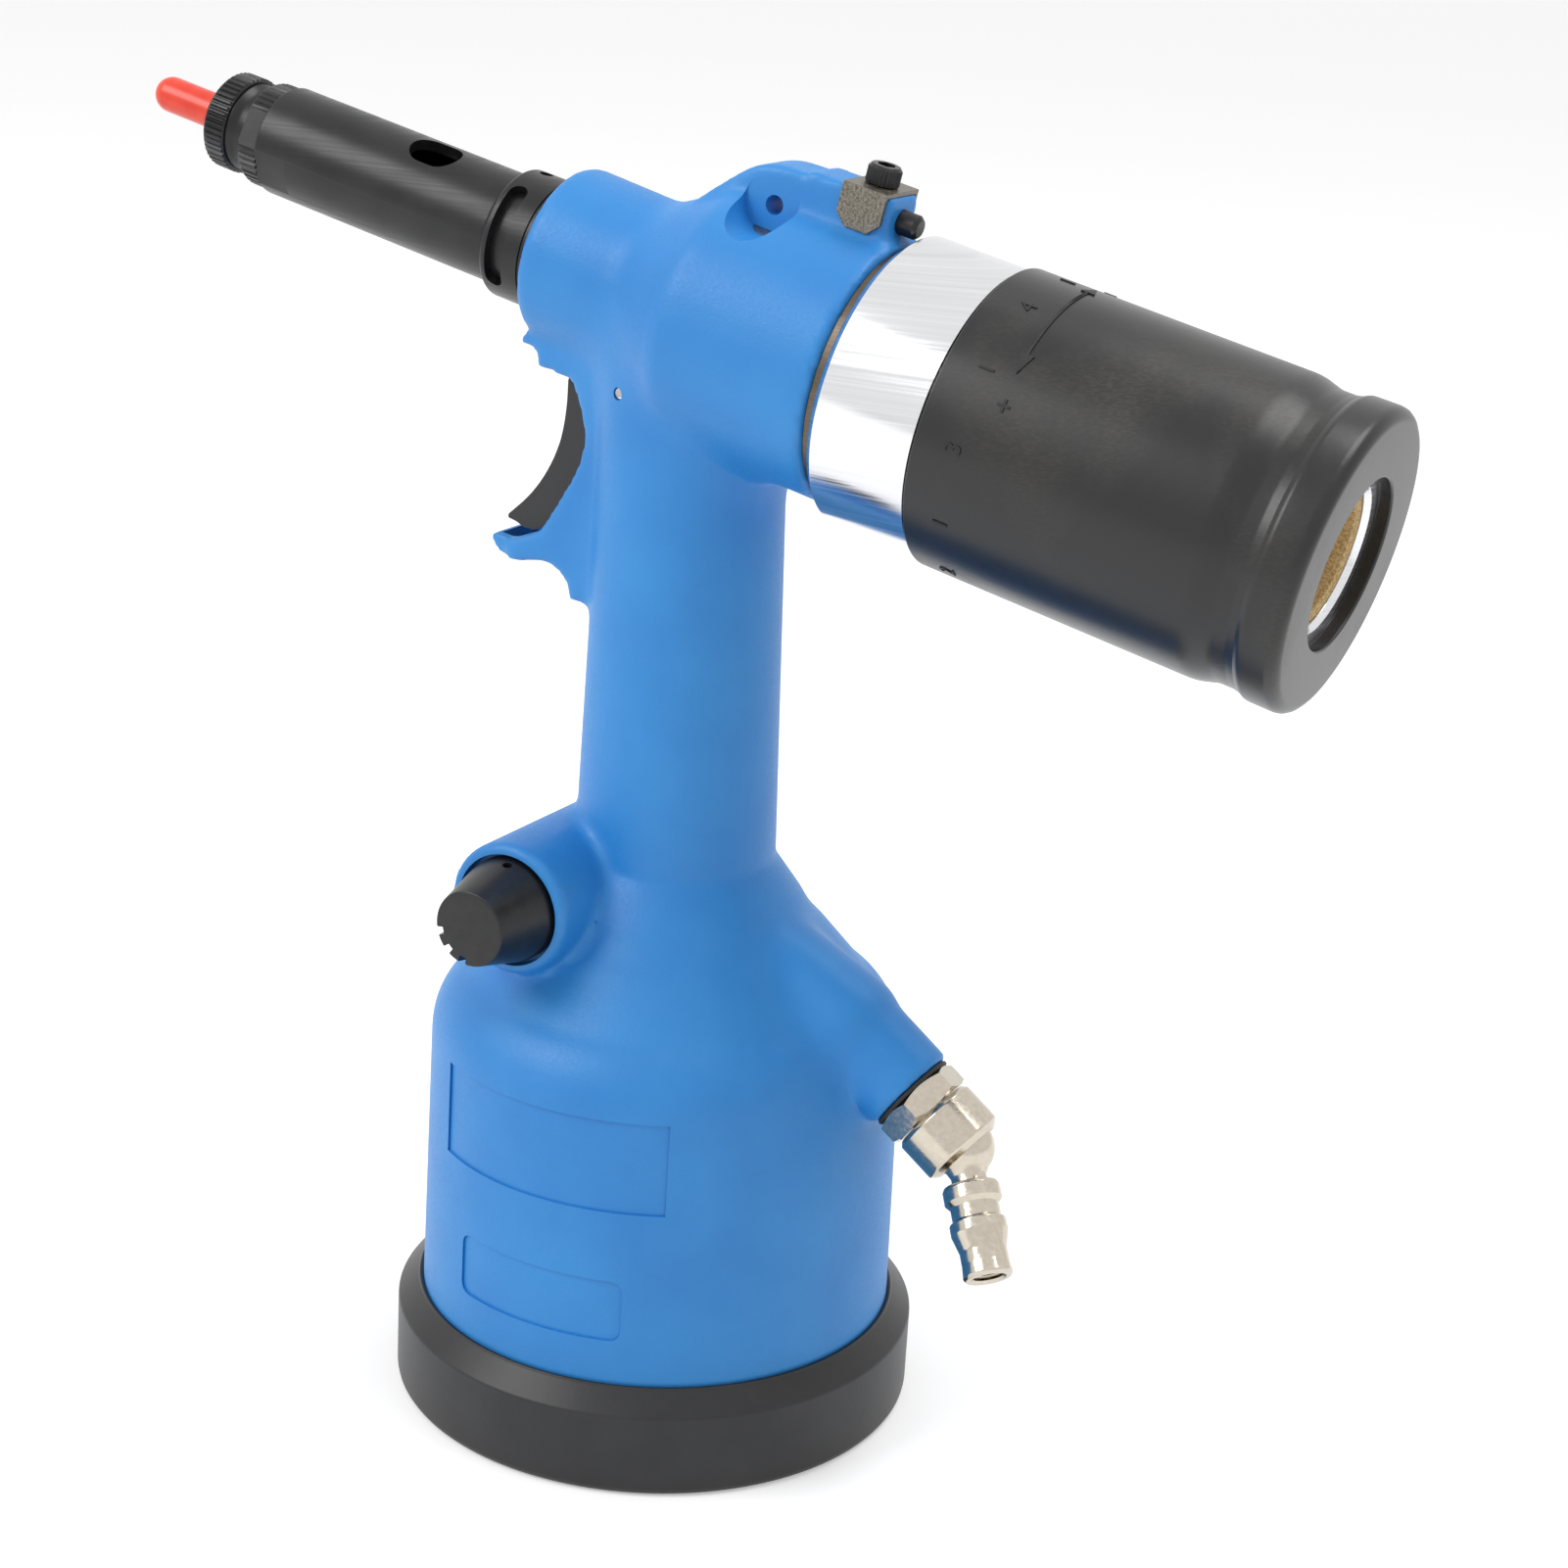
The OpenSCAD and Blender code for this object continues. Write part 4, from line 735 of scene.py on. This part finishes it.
TEETH = 48
anvil_low, anvil_high = spans("anvil", barrel)
band_end = anvil_low.z + 6
anvil = knurled("anvil_ring", 10.7, 0.5, TEETH, anvil_low.z, band_end,
                [(0, anvil_low.z - 1), (9.4, anvil_low.z - 1), (9.6, anvil_low.z, 0.3),
                 (10.8, anvil_low.z + 1.1),
                 (10.8, band_end - 0.5), (10.1, band_end + 0.01), (0, band_end + 0.01)])
cut(anvil, turned("stem", [(0, band_end - 1), (9.7, band_end - 1), (9.7, band_end + 0.4, 0.3),
                           (9.1, band_end + 1.4, 0.5),
                           (8.6, band_end + 2.2), (8.6, band_end + 4.9), (7.4, band_end + 4.9),
                           (7.4, anvil_high.z), (0, anvil_high.z)], barrel), operation="UNION")
cut(anvil, drum(3.06, anvil_low.z - 2, anvil_high.z + 2, barrel, 48),
    turned("cutter", [(0, anvil_low.z - 1), (5.1, anvil_low.z - 1), (4.25, anvil_low.z + 0.4),
                      (4.25, anvil_low.z + 11.2),
                      (0, anvil_low.z + 11.2)], barrel, 48))
softened(anvil, 0.08, 1, 50)
dressed(anvil, "anvil", ["anvil"], oxide)

nut_low, nut_high = spans("lock_nut", barrel)
NUT_FLATS = (73, 253)
nut = knurled("lock_nut_ring", 11.5, 0.45, TEETH, nut_low.z, nut_high.z,
              [(0, nut_low.z - 1), (10.6, nut_low.z - 1), (11.6, nut_low.z + 0.8), (11.6, nut_high.z - 0.2),
               (11.3, nut_high.z + 1), (0, nut_high.z + 1)])
for angle in NUT_FLATS:
    flat = barrel @ Matrix.Rotation(math.radians(angle), 4, "Z")
    cut(nut, slab("cutter", [(10.5, nut_low.z - 2), (15, nut_low.z - 2), (15, nut_high.z + 2),
                             (10.5, nut_high.z + 2)],
                  30, flat))
cut(nut, drum(7.46, nut_low.z - 2, nut_high.z + 2, barrel))
softened(nut, 0.08, 1, 50)
dressed(nut, "nut", ["lock_nut"], oxide)

# %% [markdown]
# ## Mandrel and its cap
#
# A threaded mandrel pulls the rivet nut. In transport a soft vinyl cap covers it. The thread is a
# row of turned ridges: at this size a ring and a helix look the same, and rings close cleanly.

# %% Mandrel and cap
mandrel_low, mandrel_high = spans("mandrel", barrel)
PITCH = 1.0
thread = [(0, mandrel_low.z), (2.2, mandrel_low.z)]
for i in range(40):
    station = mandrel_low.z + 0.6 + i * PITCH
    thread += [(2.55, station), (2.98, station + 0.42), (2.98, station + 0.58)]
thread_end = mandrel_low.z + 41
thread += [(3, thread_end), (3, mandrel_high.z - 28), (5.4, mandrel_high.z - 28), (5.4, mandrel_high.z - 22),
           (6.2, mandrel_high.z - 22), (6.2, mandrel_high.z), (3.45, mandrel_high.z),
           (3.45, mandrel_high.z - 14),
           (0, mandrel_high.z - 14)]
mandrel = turned("threaded_mandrel", thread, barrel, 32)
tool_steel = machined("ground_tool_steel", "#6F7175", "#94969A", 0.3, 0.8)
dressed(mandrel, "spindle", ["mandrel"], tool_steel)

cap_low, cap_high = spans("protective_cap", barrel)
CAP_R = cap_high.y
cap = turned("vinyl_cap", [(0, cap_low.z)] + arc((0, cap_low.z + CAP_R), CAP_R, -84, 0, 12)
             + [(CAP_R, cap_high.z - 0.3), (CAP_R - 0.3, cap_high.z), (CAP_R - 0.8, cap_high.z),
                (CAP_R - 0.8, cap_low.z + CAP_R), (CAP_R - 1.6, cap_low.z + 1.7), (0, cap_low.z + 0.8)],
             barrel, 64)
dressed(cap, "cap", ["protective_cap"], cap_vinyl())

# %% [markdown]
# ## The stroke adjuster at the rear
#
# Turning the polished sleeve sets the stroke, and a rubber boot over it gives the grip. The boot
# has a soft waist and a bead at its end, a flat rear face, and the exhaust mouth with its muffler.

# %% Band, sleeve and boot
ring_low, ring_high = spans("head_end_ring", barrel)
ring_r = ring_high.y
ring = turned("browned_band", [(9, ring_low.z), (22.4, ring_low.z), (22.4, HEAD_REAR + 0.05),
                               (ring_r, HEAD_REAR + 0.05, 0.1),
                               (ring_r, ring_high.z, 0.3), (9, ring_high.z)], barrel, 128, True)
dressed(ring, "frame", ["head_end_ring"], dark_band_steel())

sleeve_low, sleeve_high = spans("adjuster_sleeve", barrel)
SLEEVE_R = sleeve_high.y
boot_low, boot_high = spans("rear_boot", barrel)
BOOT_R, BOOT_SEAT = boot_high.y, boot_high.y - 2.6
sleeve_bore = 24.3
sleeve = turned("polished_sleeve", [(sleeve_bore, sleeve_low.z + 0.6), (ring_r + 0.3, sleeve_low.z + 0.6),
                                    (ring_r + 0.3, sleeve_low.z), (SLEEVE_R - 1.6, sleeve_low.z, 0.2),
                                    (SLEEVE_R, sleeve_low.z + 1.6, 0.4), (SLEEVE_R, boot_low.z - 0.6),
                                    (SLEEVE_R - 0.35, boot_low.z - 0.3),
                                    (BOOT_SEAT - 0.05, boot_low.z - 0.05),
                                    (BOOT_SEAT - 0.05, sleeve_high.z), (sleeve_bore, sleeve_high.z)],
                barrel, 160, True)
dressed(sleeve, "adjuster", ["adjuster_sleeve"], polished_aluminium())

MOUTH_R, REAR = 17.5, boot_high.z
boot = turned("rubber_boot", [(BOOT_SEAT, boot_low.z), (BOOT_R, boot_low.z, 0.5), (BOOT_R, REAR - 19, 12),
                              (BOOT_R - 1.3, REAR - 14.5, 6), (BOOT_R - 1.3, REAR - 11, 3),
                              (BOOT_R - 0.9, REAR - 9.2, 0.6),
                              (BOOT_R - 0.2, REAR - 8, 2), (BOOT_R - 0.1, REAR, 2.6), (MOUTH_R, REAR, 0.5),
                              (MOUTH_R, REAR - 3), (BOOT_SEAT, REAR - 3)], barrel, 160, True)
dressed(boot, "adjuster", ["rear_boot"], boot_black)

# %% [markdown]
# ## Dial marks
#
# The stroke is read from plain numbers moulded round the boot, with a short tick between them and
# a double arrow that says which way is more and which is less. Flat marks are made in a plane and
# then wrapped: the distance across becomes an angle, and the height stays a height.

# %% Dial marks
def wrapped(piece, angle, station, radius):
    """Lays a flat mark on the boot, its top towards the nose, at an angle from the upper side."""
    for vertex in piece.data.vertices:
        across, up, out = vertex.co
        turn = math.radians(angle) - across / radius
        reach = radius + out
        vertex.co = (reach * math.cos(turn), reach * math.sin(turn), station - up)
    return piece


def bar(points, relief=0.25):
    """A thin raised mark from a flat outline, sunk a little so that it sits in the rubber."""
    return pushed("mark", [(x, y, -0.2) for x, y in points], (0, 0, relief + 0.2), Matrix.Identity(4))


def numeral(text, size):
    """A moulded number as a solid mesh."""
    curve = bpy.data.curves.new("numeral", "FONT")
    curve.body, curve.size, curve.align_x, curve.align_y = text, size, "CENTER", "CENTER"
    curve.extrude = 0.22
    curve.resolution_u = 4
    letter = bpy.data.objects.new("numeral", curve)
    bpy.context.scene.collection.objects.link(letter)
    alone(letter)
    bpy.ops.object.convert(target="MESH")
    alone(letter)
    bpy.ops.object.mode_set(mode="EDIT")
    bpy.ops.mesh.select_all(action="SELECT")
    bpy.ops.mesh.remove_doubles(threshold=0.0005)
    bpy.ops.object.mode_set(mode="OBJECT")
    return letter


DIGIT_SIZE, DIGIT_S, DIGIT_STEP, FIRST_ANGLE = 5.0, 76, 60, 206
marks = []
for i in range(6):
    angle = FIRST_ANGLE - DIGIT_STEP * i
    marks.append(wrapped(numeral(str(i + 1), DIGIT_SIZE), angle, DIGIT_S, BOOT_R))
    tick = bar([(-0.25, -1.6), (0.25, -1.6), (0.25, 1.6), (-0.25, 1.6)])
    marks.append(wrapped(tick, angle - DIGIT_STEP / 2, DIGIT_S, BOOT_R))
ARROW_S, ARROW_HALF, ARROW_MID = 81.8, 16.4, 23.8
shaft_line = [(-ARROW_HALF + 3 + 0.95 * i, -0.27) for i in range(29)]
marks.append(wrapped(bar(shaft_line + [(x, 0.27) for x, _ in reversed(shaft_line)]), ARROW_MID, ARROW_S,
                     BOOT_R))
for side in (-1, 1):
    head_line = [(side * ARROW_HALF, 0), (side * (ARROW_HALF - 4.4), 1.5), (side * (ARROW_HALF - 4.4), -1.5)]
    marks.append(wrapped(bar(head_line, 0.3), ARROW_MID, ARROW_S, BOOT_R))
for angle, shapes in ((66, ((1.3, 0.28), (0.28, 1.3))), (-18, ((0.28, 1.3),))):
    for wide, tall in shapes:
        flat = bar([(-wide, -tall), (wide, -tall), (wide, tall), (-wide, tall)])
        marks.append(wrapped(flat, angle, ARROW_S + 0.6, BOOT_R))
alone(*marks)
bpy.ops.object.join()
dial = marks[0]
dial.name = "dial_marks"
dial.data.transform(barrel)
dressed(dial, "adjuster", [], seal_black)

# %% [markdown]
# ## Muffler
#
# Spent air leaves through a disc of sintered bronze held in a turned cup by a polished ring.

# %% Muffler and its ring
rim_low, rim_high = spans("muffler_ring", barrel)
muffler_low = spans("muffler", barrel)[0].z
RIM_BORE = 14.3
rim = turned("muffler_rim", [(RIM_BORE, rim_low.z), (BOOT_SEAT - 0.05, rim_low.z),
                             (BOOT_SEAT - 0.05, rim_high.z),
                             (RIM_BORE + 2.2, rim_high.z, 0.6), (RIM_BORE + 0.9, rim_high.z - 0.3, 0.6),
                             (RIM_BORE, rim_high.z - 1.4, 0.5)], barrel, 128, True)
dressed(rim, "adjuster", ["muffler_ring"],
        bpy.data.materials["turned_polished_aluminium"])
CUP_R = RIM_BORE - 0.05
cup_wall = turned("muffler_cup", [(0, muffler_low), (CUP_R + 3, muffler_low), (CUP_R + 3, muffler_low + 3),
                                  (CUP_R, muffler_low + 3), (CUP_R, rim_high.z - 1.5, 0.5),
                                  (CUP_R - 2.4, rim_high.z - 1.9, 0.4),
                                  (CUP_R - 3, muffler_low + 3.4), (0, muffler_low + 3.4)], barrel, 96)
dressed(cup_wall, "adjuster", ["muffler"],
        sintered_bronze("machined_porous_bronze", 0.05))
disc = turned("muffler_disc", [(0, muffler_low + 3.3), (CUP_R - 3.4, muffler_low + 3.3),
                               (CUP_R - 3.4, muffler_low + 4, 0.3),
                               (0, muffler_low + 4.1)], barrel, 96)
dressed(disc, "adjuster", [], sintered_bronze("sintered_bronze_grain", 0.35))

# %% [markdown]
# ## Trigger and its pin
#
# The trigger is a moulded lever with a long hollow curve for the finger. Its outline is drawn once
# and pushed across, and a wide bevel takes its edges off.

# %% Trigger and pin
trigger = slab("trigger_lever", [
    (-27.9, 228, 1), (-28.0, 222.6, 30), (-28.6, 216.6, 40), (-30, 211.8, 40), (-33, 205.6, 40),
    (-37, 200.5, 40),
    (-42, 196, 0.6), (-42.3, 195.1, 0.4), (-40, 194.5), (-38.2, 193.6, 1), (-35.3, 193.4, 1),
    (-33, 194.4, 1),
    (-26, 203, 30), (-20, 214.5, 1), (-18, 215), (-15.6, 212.9), (-14.6, 212.9), (-13.9, 216, 3),
    (-10, 226.2),
    (-7, 225.9)] + arc((-8, 228.8), 3, -60, 100, 8) + [(-20, 228)], TRIGGER_W, upright)
cut(trigger, drum(1.36, -20, 20, pivot_place, 32))
softened(trigger, 0.7, 3, 50)
dressed(trigger, "trigger", ["trigger"], trigger_plastic())
pin_half = spans("trigger_pin", upright)[1].y
pin = turned("trigger_pivot_pin", [(0, -pin_half + 0.25), (0.9, -pin_half + 0.2, 0.2),
                                   (1.28, -pin_half, 0.15), (1.28, pin_half, 0.15),
                                   (0.9, pin_half - 0.2, 0.2), (0, pin_half - 0.25)], pivot_place, 32)
ground_steel = machined("ground_round_steel", "#8D8F93", "#BFC1C4", 0.26, 0.6)
dressed(pin, "frame", ["trigger_pin"], ground_steel)

# %% [markdown]
# ## Regulator knob
#
# The knob that sets the air flow is a tapered aluminium cap with three thumb notches in one side
# and a cross hole for a tommy bar.

# %% Knob
knob_low, knob_high = spans("regulator_knob", valve)
KNOB_LOW_R, KNOB_FACE_R = 11.4, 8.1
THUMB_NOTCHES = (195, 227, 259)
knob = turned("flow_knob", [(0, knob_low.z), (3.6, knob_low.z), (3.6, -2.9), (KNOB_LOW_R, -2.9, 0.3),
                            (KNOB_LOW_R, 0.3, 3),
                            (KNOB_FACE_R + 0.1, knob_high.z - 0.3, 0.35), (KNOB_FACE_R - 0.4, knob_high.z),
                            (0, knob_high.z)],
              valve, 96)
for angle in THUMB_NOTCHES:
    turn = valve @ Matrix.Rotation(math.radians(angle), 4, "Z")
    notch = [(KNOB_FACE_R - 1.6, -0.75, knob_high.z - 5), (14, -1.7, knob_high.z - 5),
             (14, 1.7, knob_high.z - 5),
             (KNOB_FACE_R - 1.6, 0.75, knob_high.z - 5)]
    cut(knob, pushed("cutter", notch, (0, 0, 8), turn))
cross = valve @ Matrix.Translation((0, 0, 1.8)) @ Matrix.Rotation(math.radians(84), 4,
                                                                  "Z") @ Matrix.Rotation(math.pi / 2, 4, "Y")
cut(knob, drum(1, 2, 20, cross, 32))
softened(knob, 0.12, 2, 45)
dressed(knob, "knob", ["regulator_knob"], knob_anodised())

# %% [markdown]
# ## Lock pin, clip and screw on the fin
#
# A bent plate clip straddles the fin, and its socket screw clamps the lock pin that keeps the
# adjuster from turning. The clip is an outline with clipped corners on both sides of one plate.

# %% Clip, screw and lock pin
clip_low, clip_high = spans("clamp_clip", barrel)
PLATE = 0.9
clip = pushed("clip_plate", [(clip_high.x, y, clip_low.z) for y in (clip_low.y, clip_high.y)]
              + [(clip_low.x, clip_high.y, clip_low.z), (clip_low.x, clip_high.y - PLATE, clip_low.z),
                 (clip_high.x - PLATE, clip_high.y - PLATE, clip_low.z),
                 (clip_high.x - PLATE, clip_low.y + PLATE, clip_low.z),
                 (clip_low.x, clip_low.y + PLATE, clip_low.z), (clip_low.x, clip_low.y, clip_low.z)],
              (0, 0, clip_high.z - clip_low.z), barrel)
CORNER = 2.4
for station, side in ((clip_low.z, 1), (clip_high.z, -1)):
    wedge = [(clip_low.x - 1, station - side), (clip_low.x + CORNER, station - side),
             (clip_low.x + CORNER, station),
             (clip_low.x, station + side * CORNER), (clip_low.x - 1, station + side * CORNER)]
    cut(clip, slab("cutter", wedge, 30, barrel))
cut(clip, drum(2.3, 30, 45, screw_hole, 48))
softened(clip, 0.25, 2)
dressed(clip, "frame", ["clamp_clip"], clip_steel())

screw_low, screw_high = spans("clamp_screw", barrel)
SCREW_R, SCREW_TOP = 3.5, screw_high.x
seat = SCREW_TOP - 4
line = []
SCREW_TEETH = 30
for i in range(SCREW_TEETH * 2):
    angle = math.pi * i / SCREW_TEETH
    r = SCREW_R - (i % 2) * 0.2
    line.append((r * math.cos(angle), r * math.sin(angle), seat))
screw = pushed("socket_screw", line, (0, 0, 4), screw_hole)
cut(screw, turned("cutter", [(0, seat), (3.2, seat), (3.6, seat + 0.5), (3.6, SCREW_TOP - 0.9),
                             (2.9, SCREW_TOP, 0.3), (0, SCREW_TOP)],
                  screw_hole, 64), operation="INTERSECT")
cut(screw, drum(2, screw_low.x, seat + 1, screw_hole, 32), operation="UNION")
hexagon = [(2 * math.cos(math.radians(60 * i)), 2 * math.sin(math.radians(60 * i)),
            SCREW_TOP - 2.4) for i in range(6)]
cut(screw, pushed("cutter", hexagon, (0, 0, 4), screw_hole))
softened(screw, 0.1, 1)
dressed(screw, "screw", ["clamp_screw"], oxide)

pin_low, pin_high = spans("lock_pin", barrel)
lock_pin = turned("lock_bolt", [(0, pin_low.z), (2.5, pin_low.z, 0.3), (2.5, pin_high.z - 0.8, 0.2),
                                (1.8, pin_high.z, 0.2),
                                (0, pin_high.z)], pin_seat, 48)
dressed(lock_pin, "pin", ["lock_pin"], oxide)

# %% [markdown]
# ## Air inlet
#
# A hexagon adapter screws into the spout, a sleeve swivels on it, and a plug with a ball end tilts
# in the sleeve. All are turned brass under bright nickel. Their necks, grooves and rolled edges
# are in the turned line, because on a mirror surface each of them bends the reflections.

# %% Adapter, swivel and plug
hex_low, hex_high = spans("inlet_adapter", inlet)
HEX_AF, HEX_START, HEX_T = 18, 1.0, 5.4
corner_r = HEX_AF / math.sqrt(3)
hex_points = [(corner_r * math.cos(math.radians(13 + 60 * i)),
               corner_r * math.sin(math.radians(13 + 60 * i)), HEX_START)
              for i in range(6)]
adapter = pushed("hexagon_adapter", hex_points, (0, 0, HEX_T), inlet)
cut(adapter, turned("cutter", [(0, HEX_START), (9, HEX_START), (corner_r + 0.1, HEX_START + 0.9),
                               (corner_r + 0.1, HEX_START + HEX_T - 0.9), (9, HEX_START + HEX_T),
                               (0, HEX_START + HEX_T)],
                    inlet, 96), operation="INTERSECT")
cut(adapter, drum(6.5, hex_low.z, HEX_START + 0.5, inlet, 48), drum(5, 3, hex_high.z, inlet, 48),
    operation="UNION")
cut(adapter, drum(3, hex_low.z - 1, hex_high.z + 1, inlet, 48))
softened(adapter, 0.18, 2, 25)
inlet_nickel = nickel_plate("bright_nickel_inlet", inlet_turn)
dressed(adapter, "frame", ["inlet_adapter"], inlet_nickel, 25)
washer = turned("inlet_washer", [(6.55, 0.05), (9.7, 0.05, 0.3), (9.7, 0.95, 0.3), (6.55, 0.95)], inlet, 64,
                True)
dressed(washer, "frame", ["inlet_seal"], seal_black)

sleeve_a, sleeve_b = spans("swivel_sleeve", inlet)
SWIVEL_R = sleeve_b.y
ball = (inlet.inverted() @ plug.translation).z
swivel = turned("swivel_collar", [(5.06, sleeve_a.z), (SWIVEL_R - 0.8, sleeve_a.z, 0.3),
                                  (SWIVEL_R, sleeve_a.z + 0.9, 0.5),
                                  (SWIVEL_R, sleeve_b.z - 1.3, 0.9), (SWIVEL_R - 1.7, sleeve_b.z, 0.5),
                                  (7.8, sleeve_b.z, 0.3),
                                  (6.6, sleeve_b.z - 1)]
                + arc((0, ball), 7.0, 3, -42, 8) + [(5.06, ball - 5.4)], inlet, 96, True)
dressed(swivel, "swivel", ["swivel_sleeve"], inlet_nickel)

PLUG_L = 29
plug_line = arc((0, 0), 6.9, -90, 48, 16) + [
    (3.9, 6.6, 0.4), (3.9, 8.3, 0.2), (5.9, 8.6, 0.5), (6.25, 9.4, 0.3), (6.25, 12.1, 0.3),
    (5.3, 13.2, 0.4), (5.3, 16.2, 0.3),
    (6.15, 16.7, 0.5), (6.15, 19, 0.8), (5.1, 22.8, 2), (5.1, 25.6, 2), (5.35, PLUG_L - 0.7, 0.6),
    (4.9, PLUG_L, 0.3), (3.9, PLUG_L, 0.2),
    (3.45, PLUG_L - 0.6)]
for i in range(5):
    plug_line += [(3.75, PLUG_L - 1.3 - i), (3.4, PLUG_L - 1.6 - i)]
plug_line += [(3.4, 4.5), (2, 4), (2, -6.6)]
plug_body = turned("air_plug_body", plug_line[1:], plug, 80, True)
dressed(plug_body, "plug", ["air_plug"], nickel_plate("bright_nickel_plug", plug_turn))

# %% [markdown]
# ## Pieces that stay as constructed
#
# Everything inside keeps its construction mesh, which is already the right shape, and gets the
# finish of its own making: cast, ground, drawn, turned or pressed.

# %% Finishes of the inner pieces
cast = machined("cast_aluminium", "#8E9194", "#B4B7BA", 0.42, 1.2)
honed = machined("honed_aluminium_liner", "#9DA1A6", "#C6C9CD", 0.25, 0.5)
spring_wire = machined("drawn_spring_wire", "#5C5F64", "#7F8287", 0.32, 0.4)
bearing_steel = machined("bearing_race_steel", "#A8ABAF", "#D3D5D8", 0.16, 0.4)
gland_bronze = machined("turned_gland_bronze", "#8F6E3D", "#C29B62", 0.3, 0.5)
clip_ring_steel = machined("phosphated_ring_steel", "#3F4144", "#5A5C60", 0.45, 0.6)
inner = {
    "bottom_cover": cast, "air_piston": cast, "air_cylinder": honed, "cover_clip_ring": clip_ring_steel,
    "air_piston_seal": seal_black, "draw_piston_seal": seal_black, "knob_seal": seal_black,
    "ram": ground_steel, "ram_gland": gland_bronze, "oil_tube": tool_steel, "head_cylinder": tool_steel,
    "draw_piston": ground_steel, "return_spring": spring_wire, "trigger_spring": spring_wire,
    "drive_shaft": ground_steel, "motor_cylinder": tool_steel, "motor_front_plate": ground_steel,
    "motor_rear_plate": ground_steel, "motor_bearings": bearing_steel, "motor_rotor": tool_steel,
    "motor_vanes": vane_laminate(), "trigger_rod": ground_steel,
}
for node, material in inner.items():
    for material_slot in nodes[node].material_slots:
        material_slot.material = material
print("inner pieces", len(inner))

# %% [markdown]
# ## Floor, background and light
#
# The tool stands on a white floor in a white room. The room shows white to the camera and in
# reflections, and lights softly. Two large soft lamps add form: a key from the upper left, and a
# weaker one from behind the tool that draws its rim.

# %% Stage
FLOOR_GLOW, ROOM_LIGHT = 0.35, 0.62


def seen_directly(tree):
    """One for rays from the camera, in reflections or through glass, and zero for the rest."""
    rays = add(tree, "LightPath").outputs
    seen = add(tree, "Math", {}, {0: rays["Is Camera Ray"], 1: rays["Is Glossy Ray"]}, operation="MAXIMUM")
    return add(tree, "Math", {}, {0: seen.outputs[0], 1: rays["Is Transmission Ray"]},
               operation="MAXIMUM").outputs[0]


bpy.ops.object.select_all(action="DESELECT")
bpy.ops.mesh.primitive_plane_add(size=12)
floor = bpy.context.object
floor.name = "floor"
paper, tree, shader, _ = finish("white_floor", roughness=0.9, base_color=colour("#F4F4F4"))
shader.inputs["Specular IOR Level"].default_value = 0.1
lift = add(tree, "Math", {1: FLOOR_GLOW}, {0: seen_directly(tree)}, operation="MULTIPLY")
tree.links.new(lift.outputs[0], shader.inputs["Emission Strength"])
shader.inputs["Emission Color"].default_value = (1, 1, 1, 1)
floor.data.materials.append(paper)

world = bpy.data.worlds.new("white_room")
world.use_nodes = True
bpy.context.scene.world = world
tree = world.node_tree
sky = tree.nodes["Background"]
strength = add(tree, "MapRange", {"To Min": ROOM_LIGHT, "To Max": 1.0}, {"Value": seen_directly(tree)})
sky.inputs["Color"].default_value = (1, 1, 1, 1)
tree.links.new(strength.outputs[0], sky.inputs["Strength"])


def soft_lamp(name, position, target, size, power):
    """A large square lamp that faces a point."""
    lamp = bpy.data.objects.new(name, bpy.data.lights.new(name, "AREA"))
    lamp.data.size, lamp.data.energy = size, power
    facing = (Vector(target) - Vector(position)).to_track_quat("-Z", "Y").to_matrix().to_4x4()
    lamp.matrix_world = Matrix.Translation(position) @ facing
    bpy.context.scene.collection.objects.link(lamp)


middle = (0.03, 0, 0.16)
soft_lamp("key_lamp", (-0.9, -1.1, 1.3), middle, 0.9, 14)
soft_lamp("top_lamp", (0.5, 0.3, 1.6), middle, 0.8, 9)
bpy.context.scene.view_settings.view_transform = "Standard"
print("stage ready")
